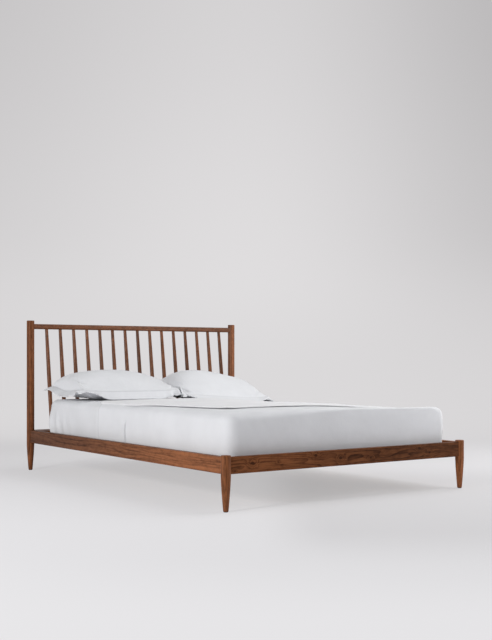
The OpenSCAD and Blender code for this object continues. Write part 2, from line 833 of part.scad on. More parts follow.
// A pillow in a flanged case. s runs along it and t across it, from -1 to 1 between
// the seams, with s = 1 next to the other pillow and t = -1 at the front. Past a seam,
// the flange droops at the outer end, rises at the inner end, hangs down to the sheet
// at the front and sinks a little at the back. The power laws give the case its full,
// round-topped form.
function past(q) = max(0, abs(q) - 1);
function within(q) = max(-1, min(1, q));
function inside(q) = min(1, abs(q));
function ease(low, high, q) =
    let (u = max(0, min(1, (q - low) / (high - low)))) u * u * (3 - 2 * u);
function skewed(q, k) = within(q) + k * (1 - pow(within(q), 2));
function fullness(s, t, form) =
    let (inwards = 0.5 + 0.5 * sin(90 * within(s)),
         backwards = 0.5 + 0.5 * sin(90 * within(t)))
    pow(max(0, 1 - pow(abs(skewed(s, form[2])), 2.4)),
        form[0] + (form[1] - form[0]) * inwards)
    * pow(max(0, 1 - pow(abs(skewed(t, form[3])), 2.2)), 1 - 0.5 * backwards);
function seam_height(s, t, form) =
    (seam_rise - form[4] * ease(0.5, -1, t)) * pow(max(inside(s), inside(t)), 4)
    + 0.22 * flange_w * pow(inside(s), 5) * ease(0.2, -1, t);
function lift_at(s, ruffles) =
    [for (r = ruffles) r[2] * exp(-pow((s - r[0]) / r[1], 2))] * [for (r = ruffles) 1];
function end_height(s, t, form) =
    (s < 0 ? (form[6] - form[5]) * ease(0.9, 0.1, t) - form[6] : form[7]) * past(s);
function side_height(s, t, form, ruffles) =
    (t < 0 ? lift_at(s, ruffles) - seam_rise + form[4] * ease(0.5, -1, t) : -0.35 * flange_w)
    * past(t) * (s < 0 ? 1 - 0.85 * past(s) : 1);
function reach_along(s, t) =
    s < 0 ? (0.92 - 0.2 * ease(-0.2, 1, t)) * flange_w : flange_inner;
function reach_across(s, t) =
    t < 0 ? flange_front : (0.9 - 0.6 * ease(-0.2, -1.2, s)) * flange_w;
function pillow_at(s, t, top, form, ruffles) =
    let (gs = past(s), gt = past(t),
         up = s > 0 ? gs : 0,
         down = t < 0 ? gt : 0,
         drawn_x = 1 - 0.03 * (1 - pow(inside(t), 2)) * inside(s),
         drawn_y = 1 - 0.04 * (1 - pow(inside(s), 2)) * inside(t),
         x = sign(s) * (inside(s) * pillow_l / 2 + gs * reach_along(s, t)) * drawn_x,
         y = sign(t) * (inside(t) * pillow_w / 2 + gt * reach_across(s, t)) * drawn_y,
         free = seam_height(s, t, form) + end_height(s, t, form)
                + side_height(s, t, form, ruffles),
         z = max(0, free))
    top
    ? [x - case_t * up, y - 0.7 * case_t * down,
       z + case_t * (1 - 0.8 * up) + (pillow_h - case_t) * fullness(s, t, form)]
    : [x, y, z];

// Steps of s or t: n of them between the seams, closer near these, and two over each
// flange
function pillow_step(i, n) =
    i < 2 ? i / 2 - 2
    : i > n + 2 ? (i - n - 2) / 2 + 1
    : sin(90 * (2 * (i - 2) / n - 1));

module pillow(side, form, ruffles) {
    nu = 22;
    nv = 14;
    rows = nu + 4;
    cols = nv + 4;
    row = cols + 1;
    count = (rows + 1) * row;
    top = [for (i = [0:rows], j = [0:cols])
        pillow_at(pillow_step(i, nu), pillow_step(j, nv), true, form, ruffles)];
    bottom = [for (i = [0:rows], j = [0:cols])
        pillow_at(pillow_step(i, nu), pillow_step(j, nv), false, form, ruffles)];
    faces = concat(
        [for (i = [0:rows - 1], j = [0:cols - 1])
            let (a = i * row + j) each [[a, a + row, a + row + 1], [a, a + row + 1, a + 1]]],
        [for (i = [0:rows - 1], j = [0:cols - 1])
            let (a = count + i * row + j)
            each [[a, a + row + 1, a + row], [a, a + 1, a + row + 1]]],
        [for (i = [0:rows - 1])
            let (a = i * row, b = a + cols)
            each [[a, count + a, count + a + row], [a, count + a + row, a + row],
                  [b, b + row, count + b + row], [b, count + b + row, count + b]]],
        [for (j = [0:cols - 1])
            let (a = j, b = rows * row + j)
            each [[a, a + 1, count + a + 1], [a, count + a + 1, count + a],
                  [b, count + b, count + b + 1], [b, count + b + 1, b + 1]]]);
    color(cotton)
    translate([side * pillow_x - pillow_aside, pillow_y, pillow_z])
        mirror([side > 0 ? 1 : 0, 0, 0])
            polyhedron(concat(top, bottom), [for (f = faces) [f[2], f[1], f[0]]]);
}

head_post(-1);  // head_post_left
head_post(1);  // head_post_right
foot_post(-1);  // foot_post_left
foot_post(1);  // foot_post_right
side_rail(-1);  // side_rail_left
side_rail(1);  // side_rail_right
foot_rail();
head_rail();
seat_rail();
top_rail();
spindle(0);  // spindle_01
spindle(1);  // spindle_02
spindle(2);  // spindle_03
spindle(3);  // spindle_04
spindle(4);  // spindle_05
spindle(5);  // spindle_06
spindle(6);  // spindle_07
spindle(7);  // spindle_08
spindle(8);  // spindle_09
spindle(9);  // spindle_10
spindle(10);  // spindle_11
spindle(11);  // spindle_12
spindle(12);  // spindle_13
spindle(13);  // spindle_14
spindle(14);  // spindle_15
slat(0);  // slat_01
slat(1);  // slat_02
slat(2);  // slat_03
slat(3);  // slat_04
slat(4);  // slat_05
slat(5);  // slat_06
slat(6);  // slat_07
slat(7);  // slat_08
slat(8);  // slat_09
slat(9);  // slat_10
slat(10);  // slat_11
slat(11);  // slat_12
slat(12);  // slat_13
slat(13);  // slat_14
ledge(-1);  // ledge_left
ledge(1);  // ledge_right
centre_beam();
beam_hanger(-1);  // beam_hanger_foot
beam_hanger(1);  // beam_hanger_head
centre_leg();
centre_leg_fixings();
levelling_foot();
post_glides();
corner_brackets();
bracket_screws();
rail_dowels();
seat_dowels();
ledge_screws();
slat_screws();
mattress();
fitted_sheet();
top_sheet();
pillow(-1, form_left, ruffles_left);  // pillow_left
pillow(1, form_right, ruffles_right);  // pillow_right
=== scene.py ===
"""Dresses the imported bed: oiled walnut, a slatted base, stretched sheets and two pillows."""
import math

import bmesh
import bpy
import numpy as np
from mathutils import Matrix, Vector


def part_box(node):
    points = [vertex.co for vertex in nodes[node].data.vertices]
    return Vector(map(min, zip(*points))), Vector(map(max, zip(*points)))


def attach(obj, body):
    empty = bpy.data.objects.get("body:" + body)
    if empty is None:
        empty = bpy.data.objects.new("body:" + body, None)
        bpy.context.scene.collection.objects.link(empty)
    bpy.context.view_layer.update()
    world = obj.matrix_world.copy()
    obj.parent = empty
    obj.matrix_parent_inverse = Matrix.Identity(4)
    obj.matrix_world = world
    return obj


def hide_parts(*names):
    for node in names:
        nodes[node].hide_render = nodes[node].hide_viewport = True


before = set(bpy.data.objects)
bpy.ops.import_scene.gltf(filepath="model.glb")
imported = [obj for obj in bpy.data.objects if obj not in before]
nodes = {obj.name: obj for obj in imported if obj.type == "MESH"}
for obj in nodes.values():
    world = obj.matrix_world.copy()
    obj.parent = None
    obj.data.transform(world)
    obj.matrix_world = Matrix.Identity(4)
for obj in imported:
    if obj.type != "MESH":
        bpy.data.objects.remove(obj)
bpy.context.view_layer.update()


# The camera: level, at the photograph's place, heading and focal length

PHOTO_H = 640
FOCAL_PX = 1039.0
HORIZON_PX = 357.4
EYE = (-3.2737, -4.7948, 0.6751)
HEADING = math.radians(35.256)
SENSOR_MM = 36.0


def make_camera():
    data = bpy.data.cameras.new("camera")
    data.sensor_width = SENSOR_MM
    data.lens = FOCAL_PX / PHOTO_H * SENSOR_MM
    data.shift_y = (HORIZON_PX - PHOTO_H / 2) / PHOTO_H
    camera = bpy.data.objects.new("camera", data)
    camera.location = EYE
    camera.rotation_euler = (math.pi / 2, 0, -HEADING)
    bpy.context.scene.collection.objects.link(camera)
    bpy.context.scene.camera = camera


# Small helpers for meshes and shader nodes

def srgb(red, green, blue):
    """A colour given as screen values from 0 to 255, turned to linear light."""
    c = np.array([red, green, blue]) / 255
    linear = np.where(c <= 0.04045, c / 12.92, ((c + 0.055) / 1.055) ** 2.4)
    return (*[float(v) for v in linear], 1.0)


def smooth(low, high, value):
    """Runs smoothly from 0 at low to 1 at high."""
    t = np.clip((value - low) / (high - low), 0, 1)
    return t * t * (3 - 2 * t)


def hump(centre, width, value):
    """A bell of height 1 round centre."""
    return np.exp(-((value - centre) / width) ** 2)


def plateau(centre, width, value):
    """A flat-topped bell of height 1 round centre."""
    return np.exp(-((value - centre) / width) ** 4)


def wander(value, wave, seed):
    """A slow aimless curve from -1 to 1: three sines with unlike wavelengths and starts."""
    rng = np.random.default_rng(seed)
    phase = rng.uniform(0, 2 * np.pi, 3)
    turns = 2 * np.pi * value / wave
    return (
        np.sin(turns + phase[0])
        + 0.6 * np.sin(1.7 * turns + phase[1])
        + 0.4 * np.sin(2.9 * turns + phase[2])
    ) / 2


def tinted(colour, level):
    """The colour made lighter or darker by a factor."""
    return tuple(min(1.0, v * level) for v in colour[:3]) + (1,)


def mesh_object(name, points, faces, material):
    """Puts points and quads in a new object at the origin, shaded smooth."""
    mesh = bpy.data.meshes.new(name)
    mesh.from_pydata(points.reshape(-1, 3).tolist(), [], faces.tolist())
    mesh.shade_smooth()
    mesh.materials.append(material)
    thing = bpy.data.objects.new(name, mesh)
    bpy.context.scene.collection.objects.link(thing)
    return thing


def grid_faces(rows, cols, closed=False, start=0):
    """Quads between neighbours of a grid of rows by cols points, closed across if asked."""
    span = cols if closed else cols - 1
    i, j = np.meshgrid(np.arange(rows - 1), np.arange(span), indexing="ij")
    k = (j + 1) % cols
    quads = np.stack([i * cols + j, i * cols + k, (i + 1) * cols + k, (i + 1) * cols + j], -1)
    return quads.reshape(-1, 4) + start


def mark_seam_shade(thing, seam):
    """Writes how near each point is to a seam, where the cloth's finish dips a groove and paints
    shade.
    """
    layer = thing.data.attributes.new("seam", "FLOAT", "POINT")
    layer.data.foreach_set("value", seam.ravel().astype(np.float32))


def tidy(thing, merge=1e-5):
    """Merges doubles, unless merge is None, and turns the faces outwards."""
    work = bmesh.new()
    work.from_mesh(thing.data)
    if merge is not None:
        bmesh.ops.remove_doubles(work, verts=work.verts, dist=merge)
        bmesh.ops.dissolve_degenerate(work, edges=work.edges, dist=merge)
    bmesh.ops.recalc_face_normals(work, faces=work.faces)
    work.to_mesh(thing.data)
    work.free()


def subdivide(thing, levels):
    modifier = thing.modifiers.new("finer", "SUBSURF")
    modifier.levels = levels
    modifier.render_levels = levels


def solidify(thing, thickness):
    modifier = thing.modifiers.new("thickness", "SOLIDIFY")
    modifier.thickness = thickness
    modifier.offset = -1
    modifier.use_rim = True


class Nodes:
    """A short way to write a node tree."""

    def __init__(self, tree):
        self.tree = tree

    def add(self, kind, inputs=None, **settings):
        made = self.tree.nodes.new(kind)
        for key, value in settings.items():
            setattr(made, key, value)
        for key, value in (inputs or {}).items():
            self.put(made.inputs[key], value)
        return made

    def put(self, socket, value):
        if isinstance(value, bpy.types.NodeSocket):
            self.tree.links.new(value, socket)
        else:
            socket.default_value = value

    def maths(self, operation, a, b=0.0, c=0.0, clamp=False):
        made = self.add("ShaderNodeMath", {0: a, 1: b, 2: c}, operation=operation)
        made.use_clamp = clamp
        return made.outputs[0]

    def vector(self, operation, a, b=(0, 0, 0)):
        made = self.add("ShaderNodeVectorMath", {0: a}, operation=operation)
        if operation != "LENGTH":
            self.put(made.inputs[1], b)
        return made.outputs["Value" if operation in ("LENGTH", "DOT_PRODUCT") else "Vector"]

    def ramp(self, value, low, high, to_low=0.0, to_high=1.0):
        given = {
            "Value": value,
            "From Min": low,
            "From Max": high,
            "To Min": to_low,
            "To Max": to_high,
        }
        made = self.add("ShaderNodeMapRange", given, interpolation_type="SMOOTHSTEP")
        return made.outputs[0]

    def mix(self, share, a, b, blend="MIX"):
        made = self.add("ShaderNodeMix", data_type="RGBA", blend_type=blend)
        self.put(made.inputs[0], share)
        self.put(made.inputs[6], a)
        self.put(made.inputs[7], b)
        return made.outputs[2]

    def noise(self, vector, scale, detail=3.0, roughness=0.5):
        made = self.add(
            "ShaderNodeTexNoise",
            {"Vector": vector, "Scale": scale, "Detail": detail, "Roughness": roughness},
        )
        return made.outputs[0]

    def scaled(self, vector, scale):
        """The place with each axis scaled: a share below 1 draws a pattern out along it."""
        return self.add("ShaderNodeMapping", {"Vector": vector, "Scale": scale}).outputs[0]

    def bump(self, height, strength, distance, under=None):
        """Turns height into a normal, on top of another bump if one is given."""
        given = {"Height": height, "Strength": strength, "Distance": distance}
        if under is not None:
            given["Normal"] = under
        return self.add("ShaderNodeBump", given).outputs[0]


def new_group(name, inputs, outputs):
    """A shader node group with the sockets named, as (name, kind, default) and (name, kind)."""
    tree = bpy.data.node_groups.new(name, "ShaderNodeTree")
    for label, kind, default in inputs:
        socket = tree.interface.new_socket(label, in_out="INPUT", socket_type=kind)
        socket.default_value = default
    for label, kind in outputs:
        tree.interface.new_socket(label, in_out="OUTPUT", socket_type=kind)
    n = Nodes(tree)
    return tree, n, n.add("NodeGroupInput").outputs, n.add("NodeGroupOutput").inputs


def new_material(name, roughness):
    """An empty material with its Principled shader, and the nodes' short way."""
    material = bpy.data.materials.new(name)
    material.use_nodes = True
    tree = material.node_tree
    shader = tree.nodes["Principled BSDF"]
    shader.inputs["Roughness"].default_value = roughness
    return material, Nodes(tree), shader


def object_coordinates(n):
    return n.add("ShaderNodeTexCoord").outputs["Object"]


# Wood: one group makes the grain, and each piece lays it along its own length

def make_grain_group():
    """Grain along Z. A slow noise bends the growth rings, whose late wood is a dark line, fine
    fibres run through them, short dark pores lie along the fibres, and a mottled figure lies
    over all."""
    tree, n, given, out = new_group(
        "wood grain",
        [
            ("Vector", "NodeSocketVector", (0, 0, 0)),
            ("Light", "NodeSocketColor", (0.3, 0.15, 0.08, 1)),
            ("Dark", "NodeSocketColor", (0.1, 0.04, 0.02, 1)),
            ("Ring width", "NodeSocketFloat", 0.012),
            ("Wildness", "NodeSocketFloat", 1.0),
            ("Knot", "NodeSocketFloat", 0.0),
        ],
        [
            ("Color", "NodeSocketColor"),
            ("Roughness", "NodeSocketFloat"),
            ("Height", "NodeSocketFloat"),
        ],
    )
    place = given["Vector"]
    slow = n.scaled(place, (1.0, 1.0, 0.12))
    drift = n.maths("SUBTRACT", n.noise(slow, 9.0, 2.0), 0.5)
    wobble = n.maths("SUBTRACT", n.noise(slow, 42.0, 2.0), 0.5)
    split = n.add("ShaderNodeSeparateXYZ", {0: place}).outputs
    # The rings lie aslant, bend slowly, wobble a little and pass round the knots
    across = n.maths("MULTIPLY_ADD", split["Y"], 0.45, split["X"])
    bend = n.maths("MULTIPLY", drift, n.maths("MULTIPLY", given["Wildness"], 0.11))
    across = n.maths("ADD", across, bend)
    across = n.maths("MULTIPLY_ADD", wobble, 0.006, across)
    across = n.maths("MULTIPLY_ADD", given["Knot"], 0.038, across)
    turn = n.maths("DIVIDE", across, given["Ring width"])
    saw = n.maths("FRACT", turn)
    late = n.maths("POWER", saw, 2.6)
    early = n.ramp(saw, 0.0, 0.10, 1.0, 0.0)
    ring = n.maths("MAXIMUM", late, early)
    fibre_place = n.scaled(place, (1.0, 1.0, 0.022))
    fibre = n.noise(fibre_place, 420.0, 4.0, 0.65)
    streak = n.noise(fibre_place, 95.0, 4.0, 0.65)
    figure = n.noise(n.scaled(place, (1.0, 1.0, 0.40)), 70.0, 3.0, 0.6)
    pore = n.ramp(n.noise(n.scaled(place, (1.0, 1.0, 0.045)), 1150.0, 1.0), 0.62, 0.72)
    broad = n.noise(slow, 5.0, 2.0)
    dark = n.maths("MULTIPLY", ring, n.maths("MULTIPLY_ADD", given["Wildness"], 0.12, 0.22))
    # Each pattern, the values between which it rises, and how much it darkens the wood
    patterns = [
        (streak, 0.42, 0.66, 0.24),
        (figure, 0.42, 0.66, 0.20),
        (fibre, 0.38, 0.68, 0.30),
        (broad, 0.35, 0.70, 0.22),
    ]
    for pattern, low, high, share in patterns:
        dark = n.maths("MULTIPLY_ADD", n.ramp(pattern, low, high), share, dark)
    dark = n.maths("MULTIPLY_ADD", pore, 0.30, dark)
    dark = n.maths("MULTIPLY_ADD", n.ramp(given["Knot"], 0.78, 1.0), 0.75, dark, clamp=True)
    n.put(out["Color"], n.mix(dark, given["Light"], given["Dark"]))
    n.put(out["Roughness"], n.maths("MULTIPLY_ADD", dark, 0.16, 0.40))
    height = n.maths("MULTIPLY_ADD", pore, -0.8, n.maths("MULTIPLY", fibre, 0.5))
    n.put(out["Height"], n.maths("MULTIPLY_ADD", ring, 0.12, height))
    return tree


def make_knot_group():
    """A knot: 1 at its heart and falling away over its size, longer along the grain."""
    tree, n, given, out = new_group(
        "knot",
        [
            ("Vector", "NodeSocketVector", (0, 0, 0)),
            ("Place", "NodeSocketVector", (0, 0, 0)),
            ("Size", "NodeSocketFloat", 0.012),
        ],
        [("Knot", "NodeSocketFloat")],
    )
    off = n.vector("SUBTRACT", given["Vector"], given["Place"])
    off = n.vector("MULTIPLY", off, (1.0, 1.0, 0.62))
    ragged = n.maths("SUBTRACT", n.noise(given["Vector"], 60.0, 3.0), 0.5)
    far = n.maths("DIVIDE", n.vector("LENGTH", off), given["Size"])
    far = n.maths("MULTIPLY_ADD", ragged, 0.9, far)
    square = n.maths("MULTIPLY", far, n.maths("MULTIPLY", far, -0.7))
    n.put(out["Knot"], n.maths("EXPONENT", square))
    return tree


# Turns that bring the length of a piece onto Z, where the grain runs
ALONG = {"x": (0, math.pi / 2, 0), "y": (math.pi / 2, 0, 0), "z": (0, 0, 0)}
grain_group = make_grain_group()
knot_group = make_knot_group()


def wood(
    name,
    colours,
    along,
    shift=(0, 0, 0),
    ring=0.012,
    wild=1.0,
    tone=1.0,
    knots=(),
    fade=None,
    gloss=0.13,
    polish=0.0,
):
    """Wood in its light and dark colour, with its grain along one axis. shift starts each piece
    at another place in the tree, ring is the width of a growth ring, wild bends the rings, tone
    darkens or lightens the wood, and knots are (place, size) in the row frame. fade is (start,
    end, tone there, tone here): painted shade, a slow darkening of the colour from one end of
    the piece to the other, away from where the light comes. gloss is how much its surface
    reflects, and polish makes it smoother."""
    material, n, shader = new_material(name, 0.45)
    shader.inputs["Specular IOR Level"].default_value = gloss
    place = object_coordinates(n)

    def laid(vector):
        given = {"Vector": vector, "Rotation": ALONG[along], "Location": shift}
        return n.add("ShaderNodeMapping", given).outputs[0]

    turned = laid(place)
    knot = 0.0
    for spot, size in knots:
        given = {"Vector": turned, "Place": laid(spot), "Size": size}
        made = n.add("ShaderNodeGroup", given, node_tree=knot_group).outputs[0]
        knot = made if knot == 0.0 else n.maths("MAXIMUM", knot, made)
    light, dark = colours
    given = {
        "Vector": turned,
        "Light": tinted(light, tone),
        "Dark": tinted(dark, tone),
        "Ring width": ring,
        "Wildness": wild,
        "Knot": knot,
    }
    grain = n.add("ShaderNodeGroup", given, node_tree=grain_group).outputs
    colour = grain["Color"]
    # Painted shade: the colour is multiplied by a slow ramp along the piece
    if fade:
        length = n.add("ShaderNodeSeparateXYZ", {0: place}).outputs[along.upper()]
        level = n.ramp(length, *fade)
        painted_fade = n.add("ShaderNodeCombineXYZ", {0: level, 1: level, 2: level}).outputs[0]
        colour = n.mix(1.0, colour, painted_fade, "MULTIPLY")
    n.put(shader.inputs["Base Color"], colour)
    n.put(shader.inputs["Roughness"], n.maths("SUBTRACT", grain["Roughness"], polish))
    n.put(shader.inputs["Normal"], n.bump(grain["Height"], 0.25, 0.0006))
    return material


WALNUT = srgb(156, 97, 60), srgb(68, 36, 17)
PINE = srgb(226, 196, 148), srgb(176, 132, 82)
BEECH = srgb(214, 178, 136), srgb(170, 126, 88)

# The knots on the foot rail's face, and how light each spindle is from the left: sapwood here,
# heartwood there
FOOT_FACE_Y = -1.056
FOOT_KNOTS = [
    ((-0.595, FOOT_FACE_Y, 0.206), 0.017),
    ((-0.690, FOOT_FACE_Y, 0.178), 0.006),
    ((-0.450, FOOT_FACE_Y, 0.203), 0.005),
    ((-0.235, FOOT_FACE_Y, 0.222), 0.012),
    ((-0.085, FOOT_FACE_Y, 0.200), 0.013),
    ((0.105, FOOT_FACE_Y, 0.192), 0.009),
    ((0.430, FOOT_FACE_Y, 0.222), 0.012),
    ((0.500, FOOT_FACE_Y, 0.196), 0.010),
]
SPINDLE_TONES = [
    1.05, 0.95, 0.92, 1.02, 0.84, 0.96, 1.12, 0.70, 0.94, 1.15, 1.0, 0.86, 1.08, 1.12, 0.9
]
SPINDLE_TONE = 0.84
FRAME_GLOSS = 0.15


def paint(name, material):
    """Gives a CAD node its finish."""
    data = nodes[name].data
    data.materials.clear()
    data.materials.append(material)


def dress_frame():
    """Walnut on the frame, each piece cut from another place in the tree."""
    # The fade on the left side rail and on the foot rail is painted shade: each darkens away from
    # the key lamp at the bed's foot-left
    pieces = [
        ("side_rail_left", "y", dict(tone=1.11, fade=(-1.0, 0.8, 1.13, 0.56))),
        ("side_rail_right", "y", dict(tone=0.98)),
        (
            "foot_rail",
            "x",
            dict(tone=1.01, wild=2.0, knots=FOOT_KNOTS, fade=(-0.6, 0.7, 0.98, 0.62), gloss=0.06),
        ),
        ("head_rail", "x", dict(tone=0.95)),
        ("seat_rail", "x", dict(tone=0.95, wild=1.2)),
        ("top_rail", "x", dict(tone=0.78, wild=0.8, gloss=0.32)),
        ("head_post_left", "z", dict(tone=1.05, wild=0.6)),
        ("head_post_right", "z", dict(tone=1.19, wild=0.6, gloss=0.38)),
        ("foot_post_left", "z", dict(tone=1.06, wild=0.6)),
        ("foot_post_right", "z", dict(tone=1.05, wild=0.6)),
    ]
    for k, (name, along, look) in enumerate(pieces):
        shift = (0.37 * k, 0.23 * k, 1.9 * k)
        look = dict(gloss=FRAME_GLOSS) | look
        paint(name, wood("walnut_" + name, WALNUT, along, shift, **look))
    for k, tone in enumerate(SPINDLE_TONES):
        name = "spindle_%02d" % (k + 1)
        shift = (0.11 * k + 5, 0.31 * k, 0.83 * k)
        look = dict(ring=0.007, wild=0.5, tone=SPINDLE_TONE * tone, gloss=0.30, polish=0.10)
        paint(name, wood("walnut_" + name, WALNUT, "z", shift, **look))


def metal(name, colour, roughness, metallic, mottle):
    """Plated or coated steel, or moulded nylon: darker by mottle and rougher in soft patches,
    with a fine peel."""
    material, n, shader = new_material(name, roughness)
    shader.inputs["Metallic"].default_value = metallic
    place = object_coordinates(n)
    patch = n.noise(place, 35.0, 3.0)
    fine = n.noise(place, 900.0, 2.0)
    darker = tinted(colour, 1 - mottle)
    n.put(shader.inputs["Base Color"], n.mix(n.ramp(patch, 0.35, 0.65), colour, darker))
    n.put(shader.inputs["Roughness"], n.ramp(patch, 0.3, 0.7, roughness - 0.06, roughness + 0.08))
    n.put(shader.inputs["Normal"], n.bump(fine, 0.12, 0.0002))
    return material


def dress_base():
    """Softwood slats and ledges, a beech leg and dowels, and the metal and nylon pieces."""
    for k in range(14):
        name = "slat_%02d" % (k + 1)
        shift = (0.41 * k, 0.17 * k, 1.3 * k)
        look = dict(ring=0.009, wild=0.7, tone=1.0 + 0.05 * math.sin(2.4 * k))
        paint(name, wood("pine_" + name, PINE, "x", shift, **look))
    for k, name in enumerate(("ledge_left", "ledge_right")):
        paint(name, wood("pine_" + name, PINE, "y", (3.1 + k, 1.7, 0.9 * k), ring=0.008))
    for name, along in (("centre_leg", "z"), ("rail_dowels", "y"), ("seat_dowels", "z")):
        look = dict(shift=(7.3, 2.2, 0.4), ring=0.006, wild=0.4)
        paint(name, wood("beech_" + name, BEECH, along, **look))
    black = metal("black_coat", srgb(38, 38, 40), roughness=0.5, metallic=0.0, mottle=0.2)
    bright = metal("zinc_plate", srgb(190, 192, 196), roughness=0.33, metallic=1.0, mottle=0.15)
    moulded = metal("nylon", srgb(40, 40, 42), roughness=0.6, metallic=0.0, mottle=0.1)
    for name in ("centre_beam", "beam_hanger_foot", "beam_hanger_head", "corner_brackets"):
        paint(name, black)
    for name in ("centre_leg_fixings", "bracket_screws", "ledge_screws", "slat_screws"):
        paint(name, bright)
    for name in ("levelling_foot", "post_glides"):
        paint(name, moulded)


# Cloth finishes

def make_weave_group():
    """Plain weave from two sets of threads on the Object coordinates, by the flattest axes."""
    tree, n, given, out = new_group(
        "plain weave",
        [("Vector", "NodeSocketVector", (0, 0, 0)), ("Thread", "NodeSocketFloat", 0.0006)],
        [("Height", "NodeSocketFloat"), ("Slub", "NodeSocketFloat")],
    )
    split = n.add("ShaderNodeSeparateXYZ", {0: given["Vector"]}).outputs
    waves = []
    for axis in ("X", "Y", "Z"):
        turn = n.maths("DIVIDE", n.maths("MULTIPLY", split[axis], math.pi), given["Thread"])
        waves.append(n.maths("SINE", turn))
    pair = n.maths("MULTIPLY", waves[0], waves[1])
    third = n.maths("MULTIPLY", waves[1], waves[2])
    fourth = n.maths("MULTIPLY", waves[0], waves[2])
    total = n.maths("ADD", n.maths("ADD", pair, third), fourth)
    n.put(out["Height"], n.maths("MULTIPLY_ADD", total, 0.17, 0.5))
    n.put(out["Slub"], n.noise(n.scaled(given["Vector"], (1.0, 0.12, 1.0)), 300.0, 2.0))
    return tree


weave_group = make_weave_group()


def cotton(name, colour, thread=0.0006, rumple=0.4, painted_seam_shade=None):
    """Woven cotton: threads, slubs and a soft rumple in its bump, and a little sheen. Where the
    piece's own attribute marks a seam, hem or crease, a groove dips and painted shade darkens it."""
    material, n, shader = new_material(name, 0.88)
    shader.inputs["Sheen Weight"].default_value = 0.25
    shader.inputs["Sheen Roughness"].default_value = 0.5
    shader.inputs["Specular IOR Level"].default_value = 0.3
    place = object_coordinates(n)
    given = {"Vector": place, "Thread": thread}
    weave = n.add("ShaderNodeGroup", given, node_tree=weave_group).outputs
    soft = n.noise(place, 7.0, 4.0, 0.55)
    crease = n.noise(place, 26.0, 3.0, 0.5)
    tint = n.mix(n.ramp(soft, 0.3, 0.7), colour, tinted(colour, 0.955))
    tint = n.mix(n.ramp(weave["Slub"], 0.66, 0.80, 0.0, 0.5), tint, tinted(colour, 0.93))
    height = n.maths("MULTIPLY", n.maths("MULTIPLY_ADD", crease, 0.4, soft), rumple)
    normal = n.bump(height, 0.5, 0.012)
    normal = n.bump(weave["Height"], 0.22, 0.0003, under=normal)
    # Painted shade: along the marked seams the colour darkens towards 0.55 of its own, and a
    # groove dips in the bump
    if painted_seam_shade:
        seam = n.add("ShaderNodeAttribute", attribute_name=painted_seam_shade).outputs["Fac"]
        groove = n.ramp(seam, 0.0, 1.0)
        tint = n.mix(n.maths("MULTIPLY", groove, 0.42), tint, tinted(colour, 0.55))
        normal = n.bump(n.maths("MULTIPLY", groove, -1.0), 0.8, 0.002, under=normal)
    n.put(shader.inputs["Base Color"], tint)
    n.put(shader.inputs["Normal"], normal)
    return material


WHITE = srgb(233, 234, 237)
# A lighter copy of the sheets' white for the turned-down layer: painted light on the same cloth
TURNED_PAINTED_LIGHT_WHITE = srgb(243, 243, 245)
TICKING = srgb(222, 220, 214)


# The mattress and its sheets: rings round the mattress, from its underside to its top

bed_low, bed_high = (np.array(corner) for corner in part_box("mattress"))
BULGE = 0.003
CROWN = 0.005
EDGE_R = 0.040
LOW_R = 0.022
CORNER_R = 0.045
TUCK = 0.120
TICKING_IN = 0.0004
TUFT_PITCH = 0.16
TUFT_DEPTH = 0.004
# Quads along the rings' straight parts: across an end, down a side, and down an open side
END_QUADS = 96
SIDE_QUADS = 130
OPEN_SIDE_QUADS = 92
HALF_W = (bed_high[0] - bed_low[0]) / 2 - BULGE
HALF_L = (bed_high[1] - bed_low[1]) / 2 - BULGE
MID_Y = (bed_high[1] + bed_low[1]) / 2
LOW_Z = bed_low[2]
TOP_Z = bed_high[2] - CROWN
# How far each sheet's outside stands off the mattress, and how thick it is
FITTED_OUT, FITTED_T = 0.0023, 0.0015
TOP_OUT, TOP_T = 0.0046, 0.0018
SHEET_EDGE = float(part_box("top_sheet")[1][1])
# How much lower the bedding lies at its right edge than at its left, how much more there
# under the pillow, and how much more behind the foot edge
FALL = 0.011
HEAD_FALL = 0.008
SIDE_FALL = 0.022


def fall(x, y):
    """How far the bedding has sunk on its right side."""
    slow = (FALL + HEAD_FALL * smooth(0.0, 0.6, y)) * smooth(-0.3, 0.66, x)
    return slow + SIDE_FALL * smooth(-0.05, 0.66, x) * smooth(-0.96, -0.72, y)


def profile(grow, tuck):
    """The rings' insets and heights: along the underside from the tucked edge, round the lower
    edge, up the slightly bulging side, round the upper edge and over the top to the middle."""
    low, high = LOW_Z - grow, TOP_Z + grow
    low_r, high_r = LOW_R + grow, EDGE_R + grow
    under = np.linspace(tuck + grow, low_r, 12, endpoint=False)
    turn = np.linspace(0, np.pi / 2, 7, endpoint=False)
    side = np.linspace(low + low_r, high - high_r, 17)
    over = np.linspace(0, np.pi / 2, 10)[1:]
    top = np.linspace(high_r, HALF_W + grow, 46)[1:]
    bulge = -BULGE * np.sin(np.pi * (side - side[0]) / (side[-1] - side[0]))
    inset = np.concatenate(
        [under, low_r * (1 - np.sin(turn)), bulge, high_r * (1 - np.cos(over)), top]
    )
    z = np.concatenate(
        [
            np.full(len(under), low),
            low + low_r * (1 - np.cos(turn)),
            side,
            high - high_r * (1 - np.sin(over)),
            np.full(len(top), high),
        ]
    )
    return inset, z


